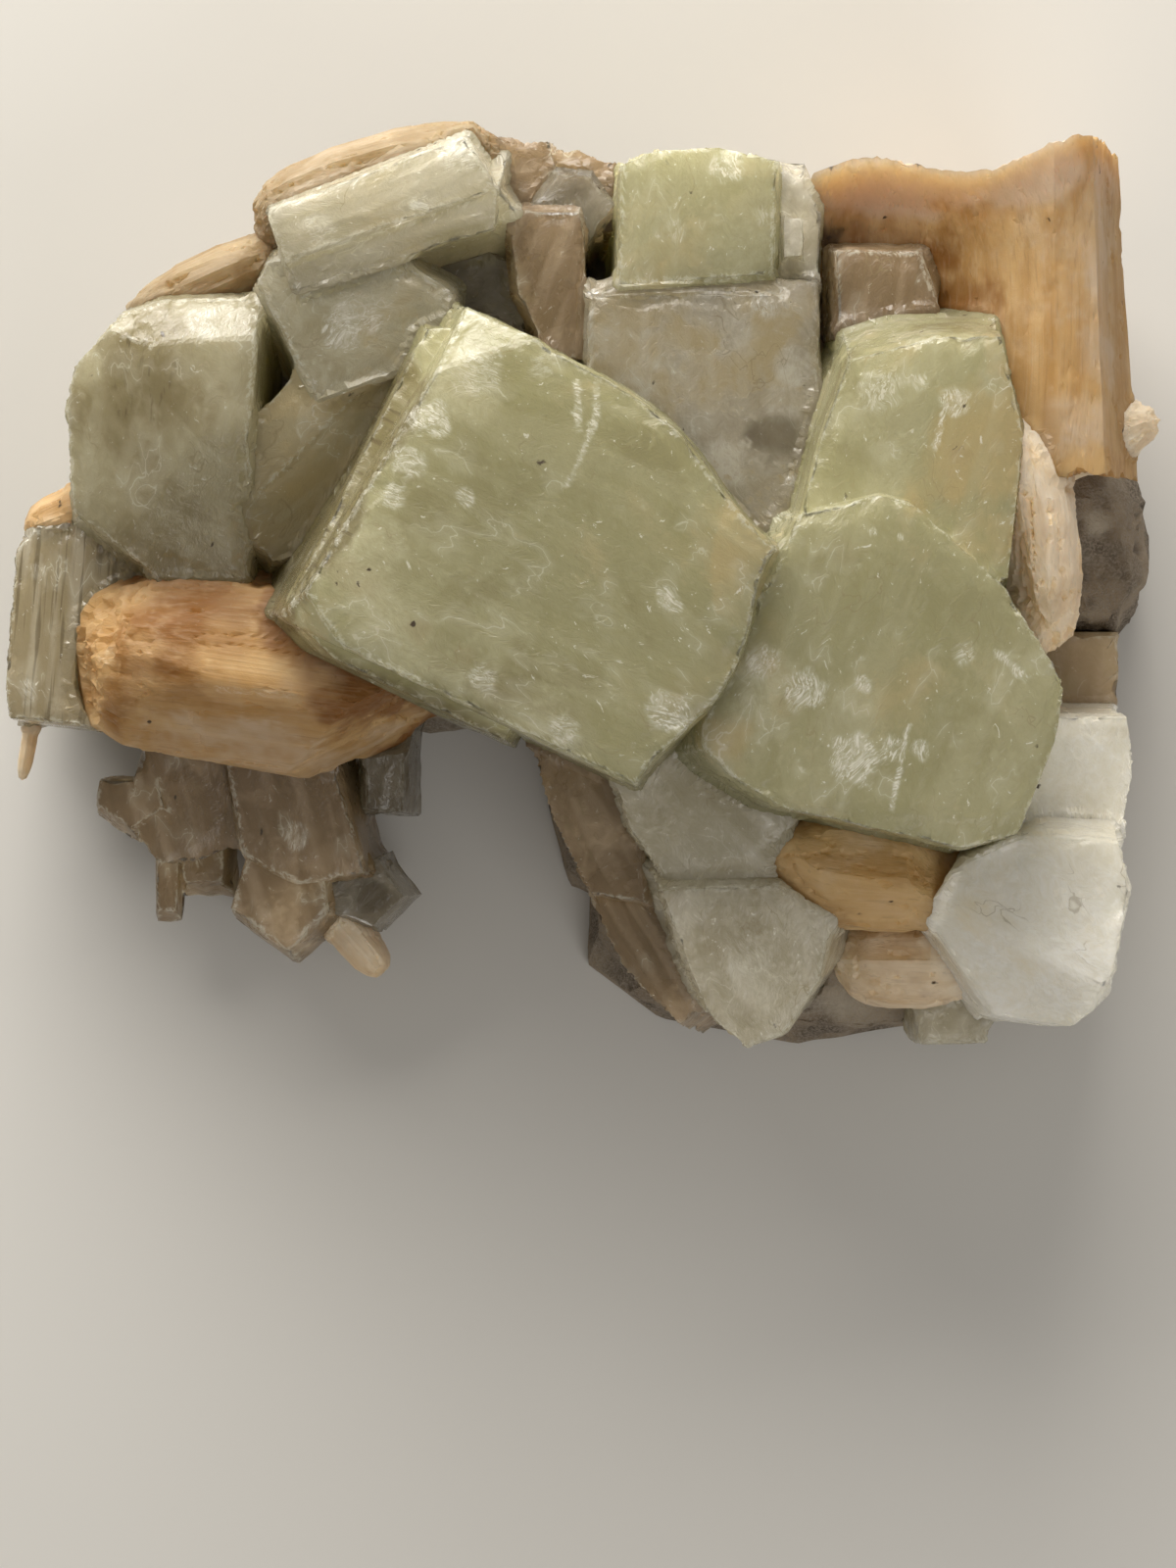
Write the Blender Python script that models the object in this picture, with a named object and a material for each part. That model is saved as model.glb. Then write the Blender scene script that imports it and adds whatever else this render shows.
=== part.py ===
"""Apophyllite cluster: green and colourless crystal blocks with stilbite sheaves on basalt.

The specimen lies on its matrix, crystals up. The origin is on the ground at the middle of
its outline, +X runs along its length, and +Z points up out of the crystals. Shapes are drawn
in millimetres and scaled to metres at the end.
"""

import math

import bmesh
import bpy
from mathutils import Matrix, Vector, noise

# Driving dimensions in millimetres
METRE = 0.001
GAP = 0.3
BLANK = 400.0
GROUND = 0.0
LOWEST_CRYSTAL = 3.0
EDGE_WEAR = 0.45

# Colours (red, green, blue), roughness and how clear the mineral is
GREEN = ((0.52, 0.53, 0.36), 0.25, 0.5)
PALE = ((0.60, 0.58, 0.47), 0.28, 0.6)
PEACH = ((0.72, 0.47, 0.24), 0.45, 0.0)
PINK = ((0.62, 0.50, 0.42), 0.45, 0.0)
BASALT = ((0.13, 0.11, 0.09), 0.9, 0.0)


def empty_scene():
    """Remove every object that the file starts with."""
    for thing in list(bpy.data.objects):
        bpy.data.objects.remove(thing, do_unlink=True)


def new_collection(name):
    """A collection under the scene."""
    group = bpy.data.collections.new(name)
    bpy.context.scene.collection.children.link(group)
    return group


def new_material(name, look):
    """A Principled material from a colour, a roughness and a clearness."""
    colour, roughness, clearness = look
    material = bpy.data.materials.new(name)
    material.use_nodes = True
    shader = material.node_tree.nodes["Principled BSDF"]
    shader.inputs["Base Color"].default_value = (*colour, 1.0)
    shader.inputs["Roughness"].default_value = roughness
    shader.inputs["Metallic"].default_value = 0.0
    shader.inputs["IOR"].default_value = 1.535
    shader.inputs["Transmission Weight"].default_value = clearness
    return material


def new_object(name, shape, group):
    """An object that holds a bmesh, which is freed."""
    mesh = bpy.data.meshes.new(name)
    shape.to_mesh(mesh)
    shape.free()
    thing = bpy.data.objects.new(name, mesh)
    group.objects.link(thing)
    return thing


# Shapes

def face_outward(shape):
    """Turn a closed bmesh's faces so that they all look outward."""
    bmesh.ops.recalc_face_normals(shape, faces=shape.faces[:])
    if shape.calc_volume(signed=True) < 0.0:
        bmesh.ops.reverse_faces(shape, faces=shape.faces[:])
    return shape


def cut_away(shape, point, outward):
    """Cut a convex bmesh by a plane, drop what lies outward of it and close the cut."""
    geometry = shape.verts[:] + shape.edges[:] + shape.faces[:]
    cut = bmesh.ops.bisect_plane(
        shape, geom=geometry, dist=1e-4, plane_co=point, plane_no=outward, clear_outer=True)
    rim = [part for part in cut["geom_cut"] if isinstance(part, bmesh.types.BMEdge)]
    if rim:
        bmesh.ops.edgeloop_fill(shape, edges=rim)


def crystal(height, slope, depth, corners, sides=(), wear=EDGE_WEAR):
    """A crystal cut from a blank by flat faces.

    height is its front face's level over the corners' middle, and slope that face's rise per
    millimetre along x and y. Each corner is (x, y, drop): the face that starts at it goes
    down at drop degrees from the front face. Each side is (x, y, x, y, level, steep): a face
    through a level line that goes down at steep degrees. The back is depth behind the front.
    """
    shape = bmesh.new()
    bmesh.ops.create_cube(shape, size=BLANK)
    middle_x = sum(corner[0] for corner in corners) / len(corners)
    middle_y = sum(corner[1] for corner in corners) / len(corners)
    up = Vector((-slope[0], -slope[1], 1.0)).normalized()

    def on_front(x, y):
        rise = slope[0] * (x - middle_x) + slope[1] * (y - middle_y)
        return Vector((x, y, height + rise))

    front = on_front(middle_x, middle_y)
    cut_away(shape, front, up)
    cut_away(shape, front - up * depth, -up)
    for here, there in zip(corners, corners[1:] + corners[:1]):
        start = on_front(here[0], here[1])
        along = (on_front(there[0], there[1]) - start).normalized()
        drop = math.radians(here[2])
        cut_away(shape, start, up * math.cos(drop) + along.cross(up) * math.sin(drop))
    for x, y, end_x, end_y, level, steep in sides:
        along = Vector((end_x - x, end_y - y, 0.0)).normalized()
        angle = math.radians(steep)
        outward = Vector((0.0, 0.0, math.cos(angle)))
        outward += along.cross(Vector((0.0, 0.0, 1.0))) * math.sin(angle)
        cut_away(shape, Vector((x, y, level)), outward)
    cut_away(shape, Vector((0.0, 0.0, LOWEST_CRYSTAL)), Vector((0.0, 0.0, -1.0)))
    if wear:
        bmesh.ops.bevel(shape, geom=shape.edges[:], offset=wear, segments=1,
                        affect="EDGES", clamp_overlap=True)
    return face_outward(shape)


def sheaf(centre, size, turn=0.0, tilt=0.0, blades=7, ridge=0.05, fullness=2.6, flare=0.0,
          rough=0.06, around=18, along=11):
    """A stilbite sheaf: a long rounded bundle whose blades show as ridges along its length.

    size is its length, width and height. flare widens the two ends, as in a bow tie.
    """
    shape = bmesh.new()
    bmesh.ops.create_uvsphere(shape, u_segments=around, v_segments=along, radius=1.0)
    place = Matrix.Translation(Vector(centre))
    place @= Matrix.Rotation(math.radians(turn), 4, "Z") @ Matrix.Rotation(math.radians(tilt), 4, "Y")
    power = 2.0 / fullness
    for vertex in shape.verts:
        way = vertex.co.z
        spread = math.hypot(vertex.co.x, vertex.co.y)
        angle = math.atan2(vertex.co.y, vertex.co.x)
        length = math.copysign(abs(way) ** power, way)
        girth = spread ** power * (1.0 + flare * length * length)
        girth *= 1.0 + ridge * math.cos(blades * angle)
        girth *= 1.0 + rough * noise.noise(Vector((length, angle, centre[0])) * 1.7)
        point = Vector((
            length * size[0] / 2.0,
            girth * math.cos(angle) * size[1] / 2.0,
            girth * math.sin(angle) * size[2] / 2.0))
        vertex.co = place @ point
    return face_outward(shape)


def rock(centre, size, rough=0.16, detail=2):
    """A lump of rock: a squashed ball whose surface is pushed in and out by noise."""
    shape = bmesh.new()
    bmesh.ops.create_icosphere(shape, subdivisions=detail, radius=1.0)
    for vertex in shape.verts:
        way = vertex.co.copy()
        push = 1.0 + rough * noise.noise(way * 2.1 + Vector(centre) * 0.1)
        push += 0.5 * rough * noise.noise(way * 5.3 + Vector(centre) * 0.2)
        point = [abs(value) ** 0.8 * math.copysign(1.0, value) * push for value in way]
        vertex.co = [middle + half * value for middle, half, value in zip(centre, size, point)]
    return face_outward(shape)


def runs_along(edge, axis):
    """Whether an edge of an upright box runs along this axis."""
    way = edge.verts[1].co - edge.verts[0].co
    return abs(way[axis]) > 0.9 * way.length


def fan():
    """The big stilbite sheaf at the upper right, split open: a hollow face between a rim
    along its top edge and a high ridge down its right side."""
    left, right = 32.0, 74.0
    low, high = 15.0, 59.5
    back = 8.0
    shape = bmesh.new()
    bmesh.ops.create_cube(shape, size=2.0)
    for axis, cuts in enumerate((15, 6, 1)):
        edges = [edge for edge in shape.edges if runs_along(edge, axis)]
        bmesh.ops.subdivide_edges(shape, edges=edges, cuts=cuts)
    for vertex in shape.verts:
        across = (vertex.co.x + 1.0) / 2.0
        upward = (vertex.co.y + 1.0) / 2.0
        forward = (vertex.co.z + 1.0) / 2.0
        x = left + (right - left) * across + 3.0 * (1.0 - upward) * across ** 3
        y = low + (high - low) * upward
        y += 1.8 * math.sin(9.0 * across) * upward ** 4 - 2.5 * (1.0 - across) * upward ** 3
        ridge = 1.0 / (1.0 + math.exp(-(across - 0.55) * 11.0))
        rim = upward ** 5
        stria = 0.5 * math.cos(across * 58.0) * ridge
        front = 36.0 + 19.0 * ridge + 10.0 * rim * (1.0 - 0.7 * ridge) + stria
        front -= 16.0 * max(0.0, across - 0.86) / 0.14
        z = back + (front - back) * forward
        taper = 0.7 + 0.3 * forward
        middle_x = (left + right) / 2.0
        middle_y = (low + high) / 2.0
        vertex.co = (middle_x + (x - middle_x) * taper, middle_y + (y - middle_y) * taper, z)
    return face_outward(shape)


# Fitting the pieces together

def boolean(target, other, operation):
    """Unite an object with another, or cut it, and keep the outcome as its mesh."""
    modifier = target.modifiers.new(operation.lower(), "BOOLEAN")
    modifier.operation = operation
    modifier.solver = "EXACT"
    modifier.object = other
    graph = bpy.context.evaluated_depsgraph_get()
    mesh = bpy.data.meshes.new_from_object(target.evaluated_get(graph))
    target.modifiers.clear()
    old = target.data
    target.data = mesh
    bpy.data.meshes.remove(old)


def joined(name, shapes, group):
    """One solid from shapes that have grown together."""
    whole = new_object(name, shapes[0], group)
    for shape in shapes[1:]:
        other = new_object(name + "_joined", shape, group)
        boolean(whole, other, "UNION")
        bpy.data.objects.remove(other, do_unlink=True)
    return whole


def grown_copy(thing, cutters):
    """A cutter: a copy of an object that is larger by the gap on every side."""
    shape = bmesh.new()
    shape.from_mesh(thing.data)
    shape.normal_update()
    moves = [vertex.normal * GAP * min(vertex.calc_shell_factor(), 2.5) for vertex in shape.verts]
    for vertex, move in zip(shape.verts, moves):
        vertex.co += move
    cutter = new_object("cutter_" + thing.name, shape, cutters)
    cutter.hide_render = True
    cutter.display_type = "WIRE"
    return cutter


def box_of(thing):
    """The lowest and highest corner of an object's mesh."""
    points = [vertex.co for vertex in thing.data.vertices]
    low = [min(point[axis] for point in points) for axis in range(3)]
    high = [max(point[axis] for point in points) for axis in range(3)]
    return low, high


def boxes_meet(first, second):
    """Whether two objects' boxes overlap."""
    low, high = box_of(first)
    other_low, other_high = box_of(second)
    return all(low[axis] < other_high[axis] and other_low[axis] < high[axis] for axis in range(3))


def keep_biggest_body(thing):
    """Drop the slivers that a cut has parted from an object."""
    shape = bmesh.new()
    shape.from_mesh(thing.data)
    left = set(shape.verts)
    bodies = []
    while left:
        body = set()
        front = [left.pop()]
        while front:
            vertex = front.pop()
            body.add(vertex)
            for edge in vertex.link_edges:
                other = edge.other_vert(vertex)
                if other in left:
                    left.discard(other)
                    front.append(other)
        bodies.append(body)
    bodies.sort(key=body_size)
    for body in bodies[:-1]:
        bmesh.ops.delete(shape, geom=list(body), context="VERTS")
    shape.to_mesh(thing.data)
    shape.free()


def body_size(body):
    """The volume of the box around a set of vertices."""
    size = 1.0
    for axis in range(3):
        values = [vertex.co[axis] for vertex in body]
        size *= max(values) - min(values)
    return size


# Pieces, from those in front to those behind

def main_crystal():
    """The biggest block: a broad face to the front, a pyramid face at its top corner and a
    growth step down its left side."""
    block = crystal(67.0, (0.06, 0.04), 42.0, [
        (-36.5, -1.0, 58), (-31.5, -8.5, 86), (7.5, -27.0, 90),
        (26.0, 4.5, 90), (-5.5, 32.0, 42), (-19.0, 28.0, 76)],
        sides=[(-5.7, 32.6, -18.2, 38.8, 60.0, 88)])
    step = crystal(59.0, (0.06, 0.04), 33.0, [
        (-39.5, -3.0, 76), (-33.0, -10.0, 86), (-10.0, -21.0, 90),
        (5.0, 10.0, 88), (-14.0, 34.0, 88), (-20.5, 34.5, 82)], wear=0.25)
    return [block, step]


def right_crystal():
    """Two green blocks that have grown together at the right."""
    lower = crystal(64.5, (-0.02, 0.03), 40.0, [
        (29.0, 9.5, 83), (18.7, -12.5, 82), (16.2, -18.5, 80), (16.0, -21.8, 80),
        (20.5, -26.3, 84), (27.0, -30.2, 88), (51.0, -35.5, 88), (58.5, -33.5, 90),
        (63.5, -21.0, 90), (65.5, -8.0, 88),
        (56.5, 0.0, 88), (51.0, 9.0, 88), (40.0, 12.0, 88)])
    upper = crystal(63.0, (0.02, 0.0), 38.0, [
        (34.5, 29.5, 84), (32.0, 20.0, 83), (27.0, 6.0, 88), (40.0, -0.5, 88),
        (57.0, 0.5, 89), (59.0, 20.0, 86), (56.0, 33.0, 76), (48.0, 33.0, 72)])
    return [lower, upper]


def long_prism():
    """The bright stepped prism at the upper left, made of two lengthwise steps."""
    upper = crystal(56.0, (0.05, 0.10), 22.0, [
        (-42.5, 50.5, 88), (-40.0, 43.5, 60), (-10.5, 53.0, 88), (-15.5, 60.5, 86)])
    lower = crystal(54.0, (0.02, 0.35), 20.0, [
        (-41.0, 46.0, 88), (-38.5, 39.5, 86), (-25.0, 43.5, 86), (-11.0, 47.5, 88),
        (-10.5, 53.5, 85)])
    return [upper, lower]


def tilted_crystal():
    """The glassy block between the long prism and the main crystal."""
    return [crystal(51.0, (0.10, 0.15), 26.0, [
        (-44.0, 41.5, 76), (-35.8, 25.2, 86), (-18.0, 31.5, 88), (-17.0, 40.0, 85),
        (-24.5, 44.5, 85), (-42.5, 44.5, 85)])]


def side_prism():
    """The prism that points to the lower left beside the main crystal."""
    return [crystal(47.0, (0.15, 0.10), 26.0, [
        (-51.5, 15.0, 32), (-45.5, 11.5, 32), (-28.0, 28.5, 80), (-38.0, 31.0, 88),
        (-45.5, 21.8, 86)],
        sides=[(-52.0, 14.5, -42.0, 4.0, 42.0, 80), (-42.0, 4.0, -22.0, 14.0, 40.0, 88)],
        wear=0.0)]


def middle_crystal():
    """The block with grey clouds inside, behind the main and right crystals."""
    return [crystal(51.0, (0.0, 0.0), 34.0, [
        (1.0, 40.0, 88), (0.5, 16.0, 88), (19.5, 0.0, 88), (27.5, 6.0, 88),
        (32.5, 17.5, 88), (32.5, 35.0, 32), (27.5, 40.0, 50)],
        sides=[(33.0, 42.0, 1.0, 42.0, 48.0, 88)])]


def top_crystal():
    """The block with a broken top edge."""
    return [crystal(52.0, (0.0, 0.03), 34.0, [
        (5.5, 57.5, 88), (4.8, 40.5, 90), (26.5, 42.0, 88), (27.0, 58.0, 86),
        (19.0, 60.0, 86), (10.0, 59.5, 86)])]


def top_right_crystals():
    """Small whitish blocks beside the top crystal."""
    block = crystal(46.0, (0.0, 0.1), 28.0, [
        (27.6, 56.5, 88), (27.4, 41.5, 88), (32.5, 41.5, 88), (33.0, 52.0, 84),
        (30.5, 56.5, 84)], wear=0.0)
    pale = crystal(49.5, (0.0, 0.0), 20.0, [
        (27.9, 50.5, 85), (27.9, 45.0, 85), (30.4, 45.0, 85), (30.4, 50.5, 85)], wear=0.0)
    return [block, pale]


def peach_crystal():
    """The pinkish block in front of the fan sheaf."""
    return [crystal(46.0, (-0.05, 0.0), 28.0, [
        (34.6, 46.5, 88), (35.0, 31.5, 88), (47.5, 28.0, 88), (49.0, 40.0, 72),
        (46.5, 46.5, 80)])]


def dome_crystal():
    """The pale block at the upper left with wide slanting faces."""
    return [crystal(51.0, (-0.05, 0.0), 34.0, [
        (-58.0, 33.0, 26), (-52.0, 20.0, 30), (-44.5, 21.0, 85), (-43.5, 34.0, 34)],
        sides=[
            (-44.0, 40.5, -57.0, 40.0, 44.0, 84),
            (-57.0, 40.0, -63.0, 38.0, 43.0, 84),
            (-63.0, 38.0, -69.5, 31.0, 42.0, 85),
            (-69.5, 31.0, -71.0, 25.0, 42.0, 86),
            (-71.0, 25.0, -70.0, 10.0, 41.0, 87),
            (-70.0, 10.0, -57.5, 0.5, 38.0, 84),
            (-57.5, 1.5, -40.0, 1.5, 38.0, 88)])]


def slab_crystal():
    """The pale slab at the left edge."""
    return [crystal(34.0, (0.05, 0.03), 26.0, [
        (-79.0, 6.0, 87), (-80.5, -13.0, 84), (-80.0, -17.5, 87), (-65.0, -19.0, 85),
        (-47.0, -4.5, 85), (-53.5, 8.0, 80), (-70.0, 9.8, 84), (-76.5, 9.0, 84)])]


def corner_crystal():
    """The whitish block at the lower right, with one long ridge."""
    return [crystal(50.0, (0.02, -0.06), 38.0, [
        (48.0, -41.5, 38), (71.0, -54.5, 80), (73.0, -50.5, 86), (75.0, -40.5, 86),
        (73.5, -34.0, 70), (61.0, -33.0, 80), (52.0, -37.0, 84)],
        sides=[
            (47.0, -45.0, 56.5, -58.5, 42.0, 87),
            (56.5, -58.5, 67.5, -60.0, 42.0, 87),
            (67.5, -60.0, 73.5, -55.0, 42.0, 87)])]


def right_edge_crystal():
    """The milky block on the right edge under the right crystal."""
    return [crystal(43.0, (-0.05, 0.05), 32.0, [
        (64.0, -17.0, 88), (58.0, -26.5, 88), (57.0, -36.0, 85), (68.5, -40.0, 85),
        (74.5, -34.0, 87), (76.5, -24.5, 87), (75.5, -17.0, 88)])]


def right_edge_stub():
    """The short beige block above it, low on the rock."""
    return [crystal(26.0, (0.0, 0.0), 18.0, [
        (64.0, -5.5, 88), (64.0, -16.0, 88), (76.0, -16.0, 88), (76.0, -11.5, 88),
        (77.0, -5.5, 88)], wear=0.0)]


def bottom_edge_crystal():
    """The small square block on the bottom edge."""
    return [crystal(22.0, (0.0, 0.0), 15.0, [
        (47.0, -52.0, 88), (48.0, -63.5, 88), (58.0, -63.5, 88), (59.0, -52.0, 88)])]


def lower_front_crystal():
    """The pointed pale crystal at the bottom."""
    return [crystal(47.0, (0.05, 0.20), 34.0, [
        (10.5, -40.5, 80), (15.0, -53.0, 80), (17.5, -58.5, 82), (22.5, -63.0, 82),
        (28.0, -61.0, 82), (32.5, -54.0, 80), (34.5, -45.0, 82), (26.5, -40.0, 85)])]


def lower_back_crystal():
    """The pale crystal between it and the main crystal."""
    return [crystal(49.0, (0.08, 0.25), 36.0, [
        (1.0, -26.0, 80), (6.5, -33.0, 82), (9.5, -42.5, 85), (26.0, -42.5, 85),
        (29.5, -30.0, 85), (18.0, -19.0, 85), (4.0, -17.0, 84)])]


def lower_left_crystals():
    """Two rough crystals down the left flank of the lower ones."""
    upper = crystal(36.0, (0.25, 0.0), 26.0, [
        (-7.5, -20.0, 85), (-4.5, -31.0, 85), (1.0, -42.0, 85), (9.0, -43.0, 85),
        (8.0, -28.0, 85), (0.0, -18.0, 85)], wear=0.0)
    lower = crystal(31.0, (0.20, 0.05), 24.0, [
        (-1.0, -38.0, 85), (6.0, -53.0, 82), (14.0, -60.5, 85), (20.0, -55.0, 85),
        (10.0, -38.0, 85)], wear=0.0)
    return [upper, lower]


def clear_pointed_crystal():
    """The small clear crystal near the top with a shining face."""
    return [crystal(45.0, (0.0, 0.1), 22.0, [
        (-6.5, 52.0, 84), (1.0, 47.5, 84), (4.4, 52.5, 86), (1.5, 56.5, 84),
        (-3.0, 57.0, 80)], wear=0.0)]


def top_beige_crystal():
    """The beige block behind the main crystal's shining face."""
    return [crystal(49.0, (-0.05, 0.1), 28.0, [
        (-9.8, 51.0, 85), (-8.5, 40.0, 85), (-4.0, 31.5, 88), (0.3, 31.5, 88),
        (0.8, 48.0, 85), (0.0, 51.0, 82)], wear=0.0)]


def dark_clear_crystal():
    """The dark glassy crystal behind the main crystal's top corner."""
    return [crystal(44.0, (0.0, 0.1), 22.0, [
        (-20.0, 32.0, 88), (-8.0, 32.0, 88), (-8.0, 43.5, 86), (-12.5, 46.0, 86),
        (-20.0, 44.0, 86)], wear=0.0)]


def top_pink_crystals():
    """Low pinkish blocks along the top edge."""
    left = crystal(42.0, (0.0, 0.0), 26.0, [
        (-14.5, 62.0, 86), (-12.0, 46.0, 85), (-3.0, 46.0, 85), (-4.0, 62.0, 86)], wear=0.0)
    right = crystal(39.0, (0.1, 0.0), 26.0, [
        (-5.5, 60.5, 86), (-5.5, 48.0, 88), (4.2, 50.0, 88), (4.5, 59.0, 88),
        (0.0, 61.5, 86)], wear=0.0)
    return [left, right]


def hanging_cluster_left():
    """Small crystals that grow out low at the lower left."""
    body = crystal(21.0, (0.0, 0.12), 16.0, [
        (-63.5, -26.0, 84), (-63.0, -34.0, 82), (-60.0, -38.0, 84), (-54.5, -38.0, 86),
        (-48.0, -35.0, 85), (-46.0, -10.0, 88), (-59.0, -10.0, 88)], wear=0.0)
    cube = crystal(21.0, (0.1, -0.1), 9.0, [
        (-68.5, -26.0, 80), (-69.0, -29.5, 80), (-64.0, -33.0, 80), (-59.0, -30.0, 80),
        (-60.0, -26.0, 80)], wear=0.0)
    prism = crystal(14.0, (0.0, 0.0), 5.0, [
        (-61.0, -34.0, 85), (-61.0, -45.0, 70), (-57.8, -45.0, 85), (-57.5, -34.0, 85)], wear=0.0)
    block = crystal(15.0, (0.0, 0.0), 8.0, [
        (-58.0, -33.0, 85), (-57.0, -41.0, 75), (-51.3, -40.8, 80), (-50.8, -32.0, 85)], wear=0.0)
    return [body, cube, prism, block]


def hanging_cluster_right():
    """The thick pale prism beside it, with a pointed block at its end."""
    prism = crystal(25.0, (0.05, 0.10), 20.0, [
        (-52.0, -12.0, 86), (-48.0, -37.0, 86), (-40.0, -41.0, 86), (-30.0, -39.5, 86),
        (-38.0, -12.0, 88)])
    tip = crystal(21.5, (0.05, -0.05), 14.0, [
        (-47.5, -36.0, 86), (-50.0, -44.5, 84), (-41.5, -50.5, 84), (-35.5, -44.5, 86),
        (-37.0, -36.0, 88)])
    return [prism, tip]


def hollow_crystal():
    """The small block with a dished end at the tip of the right hanging prism."""
    return [crystal(19.0, (0.10, 0.0), 12.0, [
        (-35.5, -40.0, 86), (-35.5, -44.5, 86), (-29.5, -47.0, 86), (-25.0, -42.5, 86),
        (-29.0, -37.5, 86)], wear=0.0)]


def small_hanging_crystal():
    """The small square crystal under the bow-tie sheaf's right end."""
    return [crystal(24.0, (0.0, 0.2), 13.0, [
        (-31.0, -12.0, 85), (-30.5, -30.5, 78), (-25.0, -31.0, 80), (-24.5, -12.0, 85)])]


def matrix_rock():
    """The piece of basalt that everything grows on."""
    return [
        rock((18.0, 18.0, 3.0), (54.0, 39.0, 27.0)),
        rock((-38.0, 18.0, 3.0), (34.0, 30.0, 23.0)),
        rock((-52.0, -4.0, 2.0), (25.0, 15.0, 18.0)),
        rock((-22.0, -6.0, 2.0), (36.0, 12.0, 20.0)),
        rock((54.0, -13.0, 2.0), (25.0, 48.0, 25.0)),
        rock((32.0, -46.0, 1.0), (32.0, 18.0, 17.0)),
        rock((8.0, -24.0, 2.0), (14.0, 20.0, 20.0)),
        rock((68.0, 8.0, 3.0), (14.0, 17.0, 27.0), detail=3)]


def piece_list():
    """Each piece's name, shapes and look, from those in front to those behind."""
    return [
        ("main_crystal", main_crystal(), GREEN),
        ("right_crystal", right_crystal(), GREEN),
        ("long_prism", long_prism(), PALE),
        ("tilted_crystal", tilted_crystal(), PALE),
        ("side_prism", side_prism(), PALE),
        ("middle_crystal", middle_crystal(), PALE),
        ("top_crystal", top_crystal(), GREEN),
        ("top_right_crystals", top_right_crystals(), PALE),
        ("peach_crystal", peach_crystal(), PINK),
        ("stilbite_crust", [sheaf((62.0, 8.0, 40.0), (34.0, 13.0, 32.0), turn=98, blades=5)], PINK),
        ("stilbite_nub", [sheaf((71.0, 20.5, 38.0), (20.0, 8.0, 13.0), turn=22, around=12,
                                along=8)], PEACH),
        ("stilbite_bow_tie", [sheaf((-43.0, -11.5, 33.0), (55.0, 27.0, 30.0), turn=-8, tilt=-4,
                                    fullness=3.0, blades=9, flare=0.05, around=20,
                                    along=13)], PEACH),
        ("dome_crystal", dome_crystal(), PALE),
        ("stilbite_lens", [sheaf((38.5, -38.5, 40.0), (29.0, 16.5, 24.0), turn=-8,
                                 blades=5)], PEACH),
        ("corner_crystal", corner_crystal(), PALE),
        ("right_edge_crystal", right_edge_crystal(), PALE),
        ("lower_front_crystal", lower_front_crystal(), PALE),
        ("lower_back_crystal", lower_back_crystal(), PALE),
        ("lower_left_crystals", lower_left_crystals(), PALE),
        ("slab_crystal", slab_crystal(), PALE),
        ("stilbite_bit", [sheaf((-71.5, 11.0, 27.0), (13.0, 8.5, 15.0), turn=20, around=12,
                                along=8)], PEACH),
        ("stilbite_fan", [fan()], PEACH),
        ("stilbite_strip", [sheaf((-51.5, 43.0, 33.0), (24.0, 9.0, 22.0), turn=24, around=14,
                                  along=9)], PEACH),
        ("stilbite_ridge", [sheaf((-28.0, 56.0, 38.0), (36.0, 14.0, 26.0), turn=17,
                                  blades=6, around=14, along=9)], PEACH),
        ("clear_pointed_crystal", clear_pointed_crystal(), PALE),
        ("top_beige_crystal", top_beige_crystal(), PINK),
        ("dark_clear_crystal", dark_clear_crystal(), PALE),
        ("top_pink_crystals", top_pink_crystals(), PINK),
        ("stilbite_bulge", [sheaf((46.0, -51.0, 25.0), (20.0, 15.0, 22.0), turn=0, around=14,
                                  along=9)], PINK),
        ("bottom_edge_crystal", bottom_edge_crystal(), PALE),
        ("right_edge_stub", right_edge_stub(), PINK),
        ("hanging_cluster_right", hanging_cluster_right(), PALE),
        ("hanging_cluster_left", hanging_cluster_left(), PALE),
        ("hollow_crystal", hollow_crystal(), PALE),
        ("pink_stub", [sheaf((-32.5, -49.0, 12.0), (13.0, 6.0, 8.0), turn=-48, around=12,
                             along=8)], PINK),
        ("small_hanging_crystal", small_hanging_crystal(), PALE),
        ("stilbite_sliver", [sheaf((-79.0, -20.5, 16.0), (11.0, 2.2, 4.0), turn=80, around=10,
                                   along=8)], PEACH),
        ("matrix", matrix_rock(), BASALT)]


def finish(thing, look):
    """Give a piece its material and its size in metres."""
    thing.data.materials.clear()
    thing.data.materials.append(new_material(thing.name, look))
    thing.data.transform(Matrix.Scale(METRE, 4))
    thing.data.update()


def stand_at_origin(group):
    """Move the cluster so that the middle of its outline is at the origin."""
    boxes = [box_of(thing) for thing in group.objects]
    shift = Vector((0.0, 0.0, 0.0))
    for axis in range(2):
        low = min(box[0][axis] for box in boxes)
        high = max(box[1][axis] for box in boxes)
        shift[axis] = -(low + high) / 2.0
    for thing in group.objects:
        thing.data.transform(Matrix.Translation(shift))


def build():
    """Make every piece, cut each one's socket in those behind it, and finish them."""
    empty_scene()
    group = new_collection("apophyllite_cluster")
    cutters = new_collection("cutters")
    placed = []
    for name, shapes, look in piece_list():
        thing = joined(name, shapes, group)
        cutter = grown_copy(thing, cutters)
        for earlier in placed:
            if boxes_meet(thing, earlier):
                boolean(thing, earlier, "DIFFERENCE")
        if name == "matrix":
            cut_ground(thing)
        keep_biggest_body(thing)
        finish(thing, look)
        placed.append(cutter)
    stand_at_origin(group)


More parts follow.
